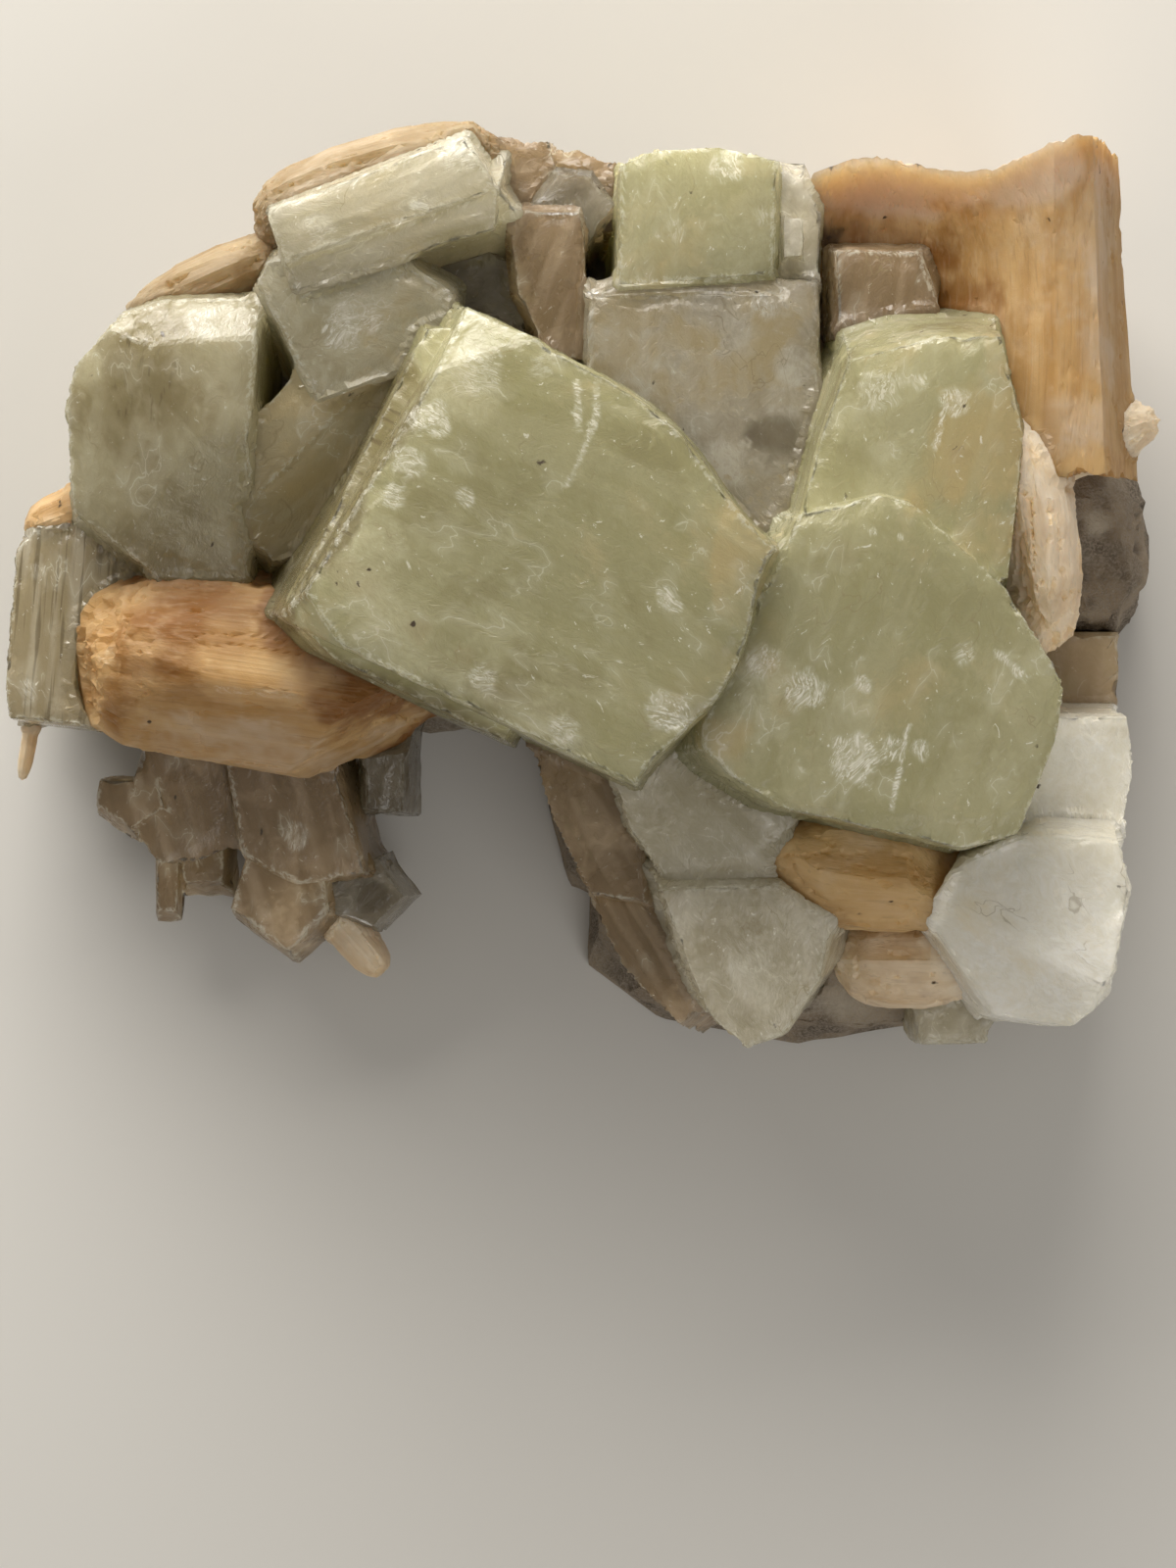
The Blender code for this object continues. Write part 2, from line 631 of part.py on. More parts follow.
def cut_ground(thing):
    """Cut the rock off flat where it rests."""
    shape = bmesh.new()
    shape.from_mesh(thing.data)
    geometry = shape.verts[:] + shape.edges[:] + shape.faces[:]
    cut = bmesh.ops.bisect_plane(
        shape, geom=geometry, dist=1e-4, plane_co=(0.0, 0.0, GROUND), plane_no=(0.0, 0.0, -1.0),
        clear_outer=True)
    rim = [part for part in cut["geom_cut"] if isinstance(part, bmesh.types.BMEdge)]
    bmesh.ops.edgeloop_fill(shape, edges=rim)
    shape.to_mesh(thing.data)
    shape.free()


build()
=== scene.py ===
"""Surfaces, materials, light and camera for the apophyllite cluster.

Every crystal, sheaf and the rock gets a fine surface of its own, worked out with numpy over
its solid: growth steps, striae, chipped edges, blades and grain. Lengths in the functions
and tables are millimetres. A piece's grain is its own set of coordinates: the first runs
along its length, the second across it and the third up out of its front face.
"""

import itertools
import math
from types import SimpleNamespace

import bmesh
import bpy
import numpy as np
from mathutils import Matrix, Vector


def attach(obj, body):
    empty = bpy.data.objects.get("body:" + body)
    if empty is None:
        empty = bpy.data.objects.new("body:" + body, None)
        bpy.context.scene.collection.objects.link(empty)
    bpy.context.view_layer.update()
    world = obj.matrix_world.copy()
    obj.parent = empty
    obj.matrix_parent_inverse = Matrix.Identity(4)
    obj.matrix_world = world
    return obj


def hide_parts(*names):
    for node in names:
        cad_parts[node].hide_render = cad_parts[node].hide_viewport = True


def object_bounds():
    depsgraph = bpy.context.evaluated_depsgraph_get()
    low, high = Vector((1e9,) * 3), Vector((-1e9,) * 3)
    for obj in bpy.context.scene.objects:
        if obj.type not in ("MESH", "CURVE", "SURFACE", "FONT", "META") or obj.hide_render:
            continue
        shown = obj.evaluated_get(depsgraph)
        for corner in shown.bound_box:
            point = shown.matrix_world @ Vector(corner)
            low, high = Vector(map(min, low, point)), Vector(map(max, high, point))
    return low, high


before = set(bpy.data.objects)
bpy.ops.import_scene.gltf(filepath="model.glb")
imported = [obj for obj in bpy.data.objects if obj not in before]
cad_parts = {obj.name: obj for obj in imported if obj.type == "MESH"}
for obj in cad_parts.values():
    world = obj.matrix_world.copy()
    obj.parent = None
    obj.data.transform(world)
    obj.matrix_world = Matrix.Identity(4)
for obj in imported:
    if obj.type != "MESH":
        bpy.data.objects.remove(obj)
solid_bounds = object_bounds()

MM = 0.001  # metres in a millimetre
CREASE = 22.0  # degrees between two faces whose edge chips
SHARP = 34.0  # degrees between two faces that are shaded apart
DETAIL = 1.0  # multiplies the fine meshes' edge lengths
SWELL = 0.14  # how far a free surface may stand outside its solid
TERRACE = 0.22  # how far a crystal's rims lie below its faces
PRESS = 0.3  # how much further out it lies where it meets another piece
CELL = 0.5  # the contact grid's cell size
FREE, SHARED = -1, 120  # cells of the contact grid with no owner, and with several
SLOPE_COUNT = 4096  # a power of two
LATTICE_KEYS = (73856093, 19349663, 83492791)
SEED_KEY, MIX_KEY = 7919, 2246822519
NOISE_GAIN = 1.6  # brings the noise to about -1 to 1
APOPHYLLITE_IOR = 1.535
STILBITE_IOR = 1.5


# Number fields worked out over whole arrays of points

def unit_slopes():
    """A table of random unit vectors, always the same."""
    slopes = np.random.RandomState(7).normal(size=(SLOPE_COUNT, 3))
    slopes /= np.linalg.norm(slopes, axis=1)[:, None]
    return slopes.astype(np.float32)


SLOPES = unit_slopes()


def smooth_noise(points, seed=0):
    """Gradient noise from about -1 to 1: a random slope at each corner of a unit lattice,
    blended with a fifth-power fade between the eight corners around a point."""
    cell = np.floor(points).astype(np.int64)
    part = (points - cell).astype(np.float32)
    fade = part ** 3 * (part * (part * 6.0 - 15.0) + 10.0)
    total = np.zeros(len(points), np.float32)
    for corner in itertools.product((0, 1), repeat=3):
        first, second, third = ((cell + corner) * LATTICE_KEYS).T
        key = first ^ second ^ (third + seed * SEED_KEY)
        key = ((key ^ (key >> 15)) * MIX_KEY) >> 11
        slope = SLOPES[key & (SLOPE_COUNT - 1)]
        weight = np.ones(len(points), np.float32)
        dot = np.zeros(len(points), np.float32)
        for axis in range(3):
            weight *= fade[:, axis] if corner[axis] else 1.0 - fade[:, axis]
            dot += slope[:, axis] * (part[:, axis] - corner[axis])
        total += weight * dot
    return total * NOISE_GAIN


def layered_noise(points, layers=4, seed=0, gain=0.5):
    """Noise summed over layers, each twice as fine and gain times as strong as the last."""
    total = np.zeros(len(points))
    strength = 1.0
    scale = 1.0
    for layer in range(layers):
        total += strength * smooth_noise(points * scale, seed + layer * 17)
        strength *= gain
        scale *= 2.03
    return total


def ramp(values, low, high):
    """0 below low, 1 above high, and a smooth S between them."""
    part = np.clip((values - low) / (high - low), 0.0, 1.0)
    return part * part * (3.0 - 2.0 * part)


def looking(turn, rise):
    """The unit vector at a turn about the upright and a rise above the level, in degrees."""
    turn, rise = math.radians(turn), math.radians(rise)
    return np.array([math.cos(turn) * math.cos(rise), math.sin(turn) * math.cos(rise),
                     math.sin(rise)])


# Fine meshes from the solids

def merged_solid(name):
    """A node's corner points in millimetres and its triangles, from a merged copy."""
    shape = bmesh.new()
    shape.from_mesh(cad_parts[name].data)
    bmesh.ops.remove_doubles(shape, verts=shape.verts, dist=2e-6)
    bmesh.ops.triangulate(shape, faces=shape.faces)
    shape.verts.index_update()
    points = np.array([vertex.co[:] for vertex in shape.verts]) / MM
    triangles = np.array([[vertex.index for vertex in face.verts] for face in shape.faces])
    shape.free()
    return points, triangles


def edges_of(triangles):
    """Each edge once as its two points, and each triangle's three edges by number."""
    pairs = np.stack([triangles, np.roll(triangles, -1, axis=1)], axis=2).reshape(-1, 2)
    pairs = np.sort(pairs, axis=1)
    keys = pairs[:, 0].astype(np.int64) * (int(triangles.max()) + 1) + pairs[:, 1]
    _, first, number = np.unique(keys, return_index=True, return_inverse=True)
    return pairs[first], number.reshape(-1, 3)


def finer(points, triangles, fine, coarse, top, bottom):
    """Halve every edge that is longer than its allowed length until none is left.

    The allowed length runs from fine at the top level to coarse at the bottom one. A
    triangle is always halved across its longest edge first, so that slivers get better
    shapes, and each half once more where another of its edges is too long.
    """
    for _ in range(16):
        ends, sides = edges_of(triangles)
        length = np.linalg.norm(points[ends[:, 0]] - points[ends[:, 1]], axis=1)
        level = points[ends].mean(axis=1)[:, 2]
        part = np.clip((top - level) / max(top - bottom, 0.1), 0.0, 1.0)
        halved = length > fine + (coarse - fine) * part
        if not halved.any():
            break
        longest = np.argmax(length[sides], axis=1)
        rows = np.arange(len(triangles))
        while True:
            touched = halved[sides].any(axis=1)
            before = halved.sum()
            halved[sides[rows[touched], longest[touched]]] = True
            if halved.sum() == before:
                break
        number = np.full(len(ends), -1)
        number[halved] = len(points) + np.arange(halved.sum())
        points = np.vstack([points, points[ends[halved]].mean(axis=1)])
        order = (longest[:, None] + np.arange(3)) % 3
        corner = np.take_along_axis(triangles, order, axis=1)
        middle = number[np.take_along_axis(sides, order, axis=1)]
        whole = middle[:, 0] < 0
        parts = [corner[whole]]
        first, second, third = corner[~whole].T
        half, next_half, last_half = middle[~whole].T
        for shift, start, end, cut in ((1, second, third, next_half),
                                       (0, third, first, last_half)):
            uncut = cut < 0
            for near, far, chosen in ((start, end, uncut), (start, cut, ~uncut),
                                      (cut, end, ~uncut)):
                child = np.stack([near, far, half], axis=1)[chosen]
                parts.append(np.roll(child, shift, axis=1))
        triangles = np.vstack(parts)
    return points, triangles


def face_normals(points, triangles):
    """Each triangle's normal, as long as twice its area."""
    first, second, third = (points[triangles[:, corner]] for corner in range(3))
    return np.cross(second - first, third - first)


def point_normals(points, triangles):
    """Unit normals at the points, each face counted by its area."""
    normals = face_normals(points, triangles)
    total = np.zeros_like(points)
    for corner in range(3):
        for axis in range(3):
            total[:, axis] += np.bincount(triangles[:, corner], normals[:, axis], len(points))
    return total / np.maximum(np.linalg.norm(total, axis=1), 1e-12)[:, None]


def edge_distance(points, triangles, reach):
    """How far each point is from the nearest outward crease, walked along the edges."""
    ends, sides = edges_of(triangles)
    normals = face_normals(points, triangles)
    normals /= np.maximum(np.linalg.norm(normals, axis=1), 1e-12)[:, None]
    middles = points[triangles].mean(axis=1)
    order = np.argsort(sides.ravel(), kind="stable")
    pairs = (order // 3).reshape(-1, 2)
    one, other = pairs.T
    bend = np.sum(normals[one] * normals[other], axis=1)
    outward = np.sum((middles[other] - middles[one]) * normals[one], axis=1) < 0.0
    sharp = (bend < math.cos(math.radians(CREASE))) & outward
    distance = np.full(len(points), reach)
    distance[ends[sharp].ravel()] = 0.0
    length = np.linalg.norm(points[ends[:, 0]] - points[ends[:, 1]], axis=1)
    for _ in range(14):
        before = distance.sum()
        np.minimum.at(distance, ends[:, 0], distance[ends[:, 1]] + length)
        np.minimum.at(distance, ends[:, 1], distance[ends[:, 0]] + length)
        if before - distance.sum() < 1e-6:
            break
    return distance


def softened(points, triangles, weight, rounds):
    """Pull each point towards the mean of its neighbours by its own weight."""
    ends, _ = edges_of(triangles)
    count = np.bincount(ends.ravel(), minlength=len(points))
    for _ in range(rounds):
        mean = np.empty_like(points)
        for axis in range(3):
            sums = np.bincount(ends[:, 0], points[ends[:, 1], axis], len(points))
            sums += np.bincount(ends[:, 1], points[ends[:, 0], axis], len(points))
            mean[:, axis] = sums / count
        points = points + (mean - points) * weight[:, None]
    return points


# Relief: how far each point moves along its normal

def striae(grain, spacing, depth, seed=0):
    """Grooves along the length: ridged noise drawn out along the first coordinate."""
    drawn = grain / (spacing * 30.0, spacing, spacing)
    crest = 1.0 - np.abs(smooth_noise(drawn, seed))
    fine = 1.0 - np.abs(smooth_noise(drawn * (1.0, 2.7, 2.7), seed + 5))
    return -depth * (1.0 - 0.65 * crest ** 2 - 0.35 * fine ** 2)


def growth_steps(grain, size, height, steps, seed=0):
    """Low plateaus with steep rims: slow noise rounded to whole steps."""
    level = layered_noise(grain / size, 2, seed) * steps
    floor = np.floor(level)
    return height * (floor + ramp(level - floor, 0.82, 1.0)) / steps - height * 0.6


def chipped(points, distance, width, depth, seed=0):
    """Chips out of the outward creases: noise above a threshold, fading with distance."""
    notch = ramp(layered_noise(points / (width * 2.2), 3, seed), 0.05, 0.75)
    return -depth * notch * np.exp(-(distance / width) ** 2)


def broken(points, normals, side, seed=0):
    """Rough broken flank on the faces that look to one side, as (turn, rise, depth, size):
    ridged, layered noise."""
    turn, rise, depth, size = side
    facing = ramp(normals @ looking(turn, rise), 0.35, 0.8)
    rough = np.abs(smooth_noise(points / size, seed))
    rough += 0.5 * np.abs(smooth_noise(points / (size * 0.45), seed + 3))
    rough += 0.25 * np.abs(smooth_noise(points / (size * 0.2), seed + 7))
    return -depth * facing * rough


def ragged_ends(grain, half, depth, blade, seed=0):
    """How far the blades at a sheaf's two ends fall short: noise across the bundle that is
    the same all along a blade, and that counts only near the ends."""
    across = grain / (1e6, blade, blade)
    short = np.abs(smooth_noise(across, seed))
    short = short + 0.5 * np.abs(smooth_noise(across * 2.1, seed + 1))
    near_end = ramp(np.abs(grain[:, 0]), 0.62 * half, half)
    return -np.sign(grain[:, 0]) * depth * short * near_end


def patches(points, places, seed=0, grit=1.6):
    """A mask of marks: each place is (x, y, radius, strength), or (x, y, x, y, width,
    strength) for a line, and noise at grit's scale frays its rim."""
    mask = np.zeros(len(points))
    if not places:
        return mask
    fray = 0.65 * layered_noise(points / grit, 3, seed)
    for place in places:
        if len(place) == 4:
            x, y, reach, strength = place
            away = np.hypot(points[:, 0] - x, points[:, 1] - y) / reach
        else:
            x, y, end_x, end_y, reach, strength = place
            along = np.array([end_x - x, end_y - y])
            part = (points[:, :2] - (x, y)) @ along / (along @ along)
            nearest = (x, y) + np.clip(part, 0.0, 1.0)[:, None] * along
            away = np.linalg.norm(points[:, :2] - nearest, axis=1) / reach
        mask = np.maximum(mask, strength * np.clip(1.3 - 1.3 * away ** 2 + fray, 0.0, 1.0))
    return mask


def planed(points, centre, flats):
    """Flats hewn on a lump: each is (turn, rise, reach), a plane that looks along a
    direction at a reach from the centre, and what lies beyond it is pushed back onto it."""
    points = points.copy()
    for turn, rise, reach in flats:
        way = looking(turn, rise)
        beyond = (points - centre) @ way - reach
        points -= np.maximum(beyond, 0.0)[:, None] * way * 0.94
    return points


def bulged(points, swells):
    """Sides swollen outwards: each is (x, y, reach, push, turn), a push along a level
    direction that fades to nothing at the reach."""
    points = points.copy()
    for x, y, reach, push, turn in swells:
        away = np.hypot(points[:, 0] - x, points[:, 1] - y) / reach
        amount = push * np.clip(1.0 - away ** 2, 0.0, 1.0) ** 2
        points[:, 0] += amount * math.cos(math.radians(turn))
        points[:, 1] += amount * math.sin(math.radians(turn))
    return points


def inner_planes(points, centre, count, seed):
    """Veils like healed cleavages: each is a plane through the crystal, densest where it
    meets the surface, that fades away over some millimetres on one side."""
    random = np.random.RandomState(seed)
    size = 0.42 * (points.max(axis=0) - points.min(axis=0))
    ripple = 0.5 * smooth_noise(points / 5.0, seed + 1)
    total = np.zeros(len(points))
    for number in range(count):
        way = random.normal(size=3) * (1.0, 1.0, 0.35)
        way /= np.linalg.norm(way)
        away = (points - centre - random.uniform(-1.0, 1.0, 3) * size) @ way + ripple
        veil = np.exp(-np.maximum(away, 0.0) / random.uniform(2.0, 9.0)) * ramp(away, -0.3, 0.1)
        kept = ramp(smooth_noise(points / 14.0, seed + 10 + number), -0.15, 0.35)
        total = np.maximum(total, veil * kept * random.uniform(0.45, 1.0))
    return total


# Where the pieces touch

def covered(points, triangles):
    """Points spread evenly over all the triangles, closer together than a cell."""
    corners = points[triangles]
    sides = np.linalg.norm(corners - np.roll(corners, 1, axis=1), axis=2).max(axis=1)
    steps = np.ceil(sides / CELL).astype(int) + 1
    spread = []
    for count in np.unique(steps):
        first, second = np.meshgrid(np.arange(count + 1), np.arange(count + 1))
        inside = first + second <= count
        shares = np.stack([first, second, count - first - second], axis=2)[inside] / count
        spread.append((shares @ corners[steps == count]).reshape(-1, 3))
    return np.vstack(spread)


def cell_numbers(points):
    """Which cell of the grid around the object each point lies in."""
    return tuple(((points - GRID_START) / CELL).astype(int).T)


SOLIDS = {name: merged_solid(name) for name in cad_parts}
ORDER = {name: number for number, name in enumerate(SOLIDS)}
GRID_MARGIN = 4.0
GRID_START = np.array(solid_bounds[0]) / MM - GRID_MARGIN
GRID_END = np.array(solid_bounds[1]) / MM + GRID_MARGIN
OWNER = np.full(((GRID_END - GRID_START) / CELL).astype(int) + 1, FREE, np.int8)
for solid_name, number in ORDER.items():
    cells = cell_numbers(covered(*SOLIDS[solid_name]))
    OWNER[cells] = np.where((OWNER[cells] == FREE) | (OWNER[cells] == number), number, SHARED)


def touching(name, points):
    """How close each point is to another piece: 1 against it, and 0 from 2 mm away. The
    other pieces' cells are spread through the grid, losing about a fifth at each step."""
    steps = 4
    cells = np.array(cell_numbers(points))
    low, high = cells.min(axis=1) - steps - 1, cells.max(axis=1) + steps + 2
    part = OWNER[low[0]:high[0], low[1]:high[1], low[2]:high[2]]
    field = ((part != FREE) & (part != ORDER[name])).astype(np.float32)
    for _ in range(steps):
        spread = field.copy()
        for axis in range(3):
            for way in (-1, 1):
                spread = np.maximum(spread, np.roll(field, way, axis) - 0.22)
        field = spread
    return field[tuple(cells - low[:, None])]


def grain_of(points, centre, turn, flare, half):
    """Points in a piece's own coordinates: turned about the upright through its centre, and
    spread with the flare of a sheaf of that half length, so that the blades stay on equal
    values."""
    angle = math.radians(turn)
    x, y, z = (points - centre).T
    along = x * math.cos(angle) + y * math.sin(angle)
    across = -x * math.sin(angle) + y * math.cos(angle)
    spread = 1.0 + flare * np.clip(np.abs(along) / half, 0.0, 1.2) ** 2
    return np.stack([along, across / spread, z / spread], axis=1)


def new_surface(name, points, triangles, values):
    """A mesh object from arrays, with its named values as attributes of its points."""
    mesh = bpy.data.meshes.new(name)
    mesh.vertices.add(len(points))
    mesh.vertices.foreach_set("co", (points * MM).astype(np.float32).ravel())
    mesh.loops.add(len(triangles) * 3)
    mesh.loops.foreach_set("vertex_index", triangles.astype(np.int32).ravel())
    mesh.polygons.add(len(triangles))
    mesh.polygons.foreach_set("loop_start", np.arange(0, len(triangles) * 3, 3, dtype=np.int32))
    mesh.update(calc_edges=True)
    mesh.validate()
    for key, value in values.items():
        kind, part = ("FLOAT_VECTOR", "vector") if value.ndim == 2 else ("FLOAT", "value")
        layer = mesh.attributes.new(key, kind, "POINT")
        layer.data.foreach_set(part, value.astype(np.float32).ravel())
    mesh.shade_smooth()
    mesh.set_sharp_from_angle(angle=math.radians(SHARP))
    thing = bpy.data.objects.new(name, mesh)
    bpy.context.scene.collection.objects.link(thing)
    return thing


def dress(name, look, turn=0.0, fine=1.0, coarse=3.0, bruises=(), stains=(), clouds=(),
          tint_and_shade_places=(), haze=0.2, veil=0.5, tone_and_shade=0.5, half=1.0, flare=0.0, **relief):
    """Give a node its fine surface and its material, and hide the solid it stands for.

    marks holds the bruised, stained and clouded places. shades holds slow noise for streaks
    along the grain and for veins, and the tint with painted shade: painted shade at 0, plain
    at 0.5 and warm at 1. A place with a negative strength paints shade, and so does a low
    tone. relief goes to the function that shapes the surface.
    """
    points, triangles = SOLIDS[name]
    top, bottom = points[:, 2].max(), points[:, 2].min()
    points, triangles = finer(points, triangles, fine * DETAIL, coarse * DETAIL,
                              top - 0.35 * (top - bottom), bottom)
    centre = (points.max(axis=0) + points.min(axis=0)) / 2.0
    seed = sum(ord(letter) for letter in name)
    grain = grain_of(points, centre, turn, flare, half)
    bruise = patches(points, bruises, seed, 2.2)
    bent = points
    for reach, size, start in ((5.0, 9.0, 50), (1.6, 3.0, 53)):
        bent = bent + reach * np.stack([smooth_noise(points / size, seed + start + axis)
                                        for axis in range(3)], axis=1)
    smoke = layered_noise(bent / 9.0, 4, seed + 60, 0.6)
    smoke = 0.6 * ramp(smoke, -0.15, 0.8) + 0.5 * np.exp(-(smoke / 0.05) ** 2)
    smoke = np.clip(smoke + 0.8 * inner_planes(points, centre, 7, seed), 0.0, 1.0)
    cloud = haze * (0.75 + 0.5 * smooth_noise(bent / 16.0, seed + 65))
    cloud = np.maximum(cloud, patches(points, clouds, seed + 2, 7.0))
    cloud = np.clip(cloud * 0.8 + veil * smoke * (0.45 + 0.55 * cloud), 0.0, 1.0)
    marks = np.stack([bruise, patches(points, stains, seed + 1), cloud], axis=1)
    # the tint runs from painted shade at 0 through plain at 0.5 to warm at 1; a low tone and a
    # place with a negative strength paint shade
    tint_and_shade = tone_and_shade + 0.2 * layered_noise(bent / 18.0, 2, seed + 90)
    tint_and_shade += 0.45 * veil * (smoke - 0.35) - 0.1 * inner_planes(points, centre, 4, seed + 5)
    warmed = [place for place in tint_and_shade_places if place[-1] > 0.0]
    painted_shade_places = [(*place[:-1], -place[-1]) for place in tint_and_shade_places if place[-1] < 0.0]
    tint_and_shade += 0.5 * patches(points, warmed, seed + 3, 6.0)
    tint_and_shade -= 0.5 * patches(points, painted_shade_places, seed + 4, 6.0)
    streaks = 0.5 + 0.5 * layered_noise(grain / (40.0, 2.6, 2.6), 3, seed + 70)
    veins = 0.5 + 0.5 * layered_noise(points / 8.0, 3, seed + 80)
    shades = np.stack([streaks, veins, np.clip(tint_and_shade, 0.0, 1.0)], axis=1)
    contact = ramp(touching(name, points), 0.2, 0.75)
    piece = SimpleNamespace(turn=turn, half=half, seed=seed, centre=centre, contact=contact,
                            bruise=bruise)
    shape = SURFACES.get(look, crystal_surface)
    points, wear = shape(points, triangles, grain, piece, **relief)
    thing = new_surface(name + "_surface", points, triangles,
                        {"grain": grain, "marks": marks, "shades": shades, "wear": wear})
    thing.data.materials.append(LOOKS[look])
    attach(thing, "root")
    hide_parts(name)


def settled(points, normals, move, contact):
    """Points moved along their normals, but pressed tight against the piece they touch."""
    move = np.minimum(move, SWELL) * (1.0 - contact) + (SWELL + PRESS) * contact
    return points + normals * move[:, None]


def crystal_surface(points, triangles, grain, piece, steps=0.1, grooves=0.05, groove_gap=1.3,
                    chips=0.4, rough_sides=(), swells=()):
    """A crystal's faces: flat with low growth steps and fine grooves along its length,
    a narrow terrace and chips at the free edges, and broken where it was knocked."""
    seed = piece.seed
    distance = edge_distance(points, triangles, 6.0)
    points = bulged(points, swells)
    normals = point_normals(points, triangles)
    move = SWELL + growth_steps(grain, (17.0, 11.0, 11.0), steps, 5.0, seed)
    move += striae(grain, groove_gap, grooves, seed)
    move += growth_steps(grain, (7.0, 4.0, 4.0), 0.5 * steps, 3.0, seed + 6)
    move += 0.05 * layered_noise(points / 6.0, 3, seed + 9)
    rim = 1.4 + 2.4 * smooth_noise(grain / (12.0, 7.0, 7.0), seed + 13)
    move -= TERRACE * (1.0 - ramp(distance - rim, 0.0, 0.45))
    move += chipped(points, distance, 0.9, chips, seed)
    move += chipped(points, distance, 2.4, 1.3 * chips, seed + 4)
    for side in rough_sides:
        move += broken(points, normals, side, seed)
    move -= 0.12 * piece.bruise * np.abs(layered_noise(points / 0.9, 2, seed + 21))
    wear = np.exp(-distance / 0.6) * (1.0 - piece.contact)
    points = settled(points, normals, move, piece.contact)
    return softened(points, triangles, 0.1 * wear, 1), wear


def sheaf_surface(points, triangles, grain, piece, blade=1.4, depth=0.3, ragged=1.5,
                  layers=0.5, flats=()):
    """A stilbite sheaf: a hewn bundle with blades as fine grooves that follow its flare,
    long ledges where layers end, and ragged ends."""
    seed, half = piece.seed, piece.half
    points = planed(points, piece.centre, flats)
    normals = point_normals(points, triangles)
    move = SWELL + striae(grain, blade, depth, seed)
    move += striae(grain, blade * 0.35, depth * 0.35, seed + 2)
    level = layered_noise(grain / (26.0, 6.0, 6.0), 2, seed + 4, 0.4) * 1.8
    move -= layers * (1.0 - ramp(level - np.floor(level), 0.0, 0.14))
    move -= layers * 0.8 * np.abs(smooth_noise(points / 11.0, seed + 8))
    points = settled(points, normals, move, piece.contact)
    angle = math.radians(piece.turn)
    pull = ragged_ends(grain, half, ragged, blade * 1.6, seed) * (1.0 - piece.contact)
    points[:, 0] += pull * math.cos(angle)
    points[:, 1] += pull * math.sin(angle)
    wear = ramp(np.abs(grain[:, 0]), 0.75 * half, 1.05 * half) * (1.0 - piece.contact)
    return points, wear


def rock_surface(points, triangles, grain, piece):
    """Basalt: layered noise for lumps and grain, with small pits, and flat where it rests."""
    seed = piece.seed
    normals = point_normals(points, triangles)
    move = 0.9 * layered_noise(points / 7.0, 4, seed, 0.55)
    pits = ramp(smooth_noise(points / 1.9, seed + 30), 0.42, 0.7)
    move -= 0.7 * pits
    move += 0.22 * smooth_noise(points / 0.8, seed + 40) - 0.4
    move = np.minimum(move * ramp(points[:, 2], 0.15, 2.0), SWELL)
    return points + normals * move[:, None], pits * (1.0 - piece.contact)


SURFACES = {"stilbite": sheaf_surface, "crust": sheaf_surface, "beige": sheaf_surface,
            "brightened_stilbite": sheaf_surface, "basalt": rock_surface}


# Shader node groups, each built once

def new_group(name, vectors, numbers, results):
    """An empty shader group with vector and number inputs, and numbers as its outputs."""
    group = bpy.data.node_groups.new(name, "ShaderNodeTree")
    for labels, way, kind in ((vectors, "INPUT", "Vector"), (numbers, "INPUT", "Float"),
                              (results, "OUTPUT", "Float")):
        for label in labels:
            group.interface.new_socket(label, in_out=way, socket_type="NodeSocket" + kind)
    return group, group.nodes.new("NodeGroupInput"), group.nodes.new("NodeGroupOutput")


def feed(tree, socket, value):
    """Set an input to a number, a colour or a vector, or link another socket to it."""
    if isinstance(value, (int, float)):
        socket.default_value = value
    elif isinstance(value, tuple):
        socket.default_value = (*value, 1.0)[:len(socket.default_value)]
    else:
        tree.links.new(value, socket)


def node_of(tree, kind, inputs, **settings):
    """A shader node with its settings made and its inputs, by name or number, fed."""
    node = tree.nodes.new("ShaderNode" + kind)
    for key, value in settings.items():
        setattr(node, key, value)
    for key, value in inputs.items():
        feed(tree, node.inputs[key], value)
    return node


def math_node(tree, operation, *inputs, clamp=False):
    """A Math node whose inputs are numbers or other sockets; returns its output."""
    return node_of(tree, "Math", dict(enumerate(inputs)), operation=operation,
                   use_clamp=clamp).outputs[0]


def map_node(tree, value, low, high, start=0.0, end=1.0):
    """A smooth ramp from start at low to end at high; returns its output."""
    return node_of(tree, "MapRange", {"Value": value, "From Min": low, "From Max": high,
                                      "To Min": start, "To Max": end},
                   interpolation_type="SMOOTHSTEP").outputs["Result"]


def noise_node(tree, vector, scale, detail, roughness):
    """A Noise Texture; returns its value."""
    return node_of(tree, "TexNoise", {"Vector": vector, "Scale": scale, "Detail": detail,
                                      "Roughness": roughness}).outputs["Fac"]


def mix_node(tree, amount, first, second):
    """A colour mix; each input is a number, a colour or a socket. Returns its output."""
    return node_of(tree, "Mix", {0: amount, 6: first, 7: second}, data_type="RGBA",
                   clamp_factor=True).outputs[2]


def stretched(tree, vector, scale):
    """A vector multiplied by three numbers; returns the output."""
    return node_of(tree, "VectorMath", {0: vector, 1: scale}, operation="MULTIPLY").outputs[0]


def bent_by(tree, vector, bend, reach):
    """A vector moved by slow noise times a reach; returns the output."""
    return node_of(tree, "VectorMath", {0: bend, 1: (reach, reach, reach), 2: vector},
                   operation="MULTIPLY_ADD").outputs[0]


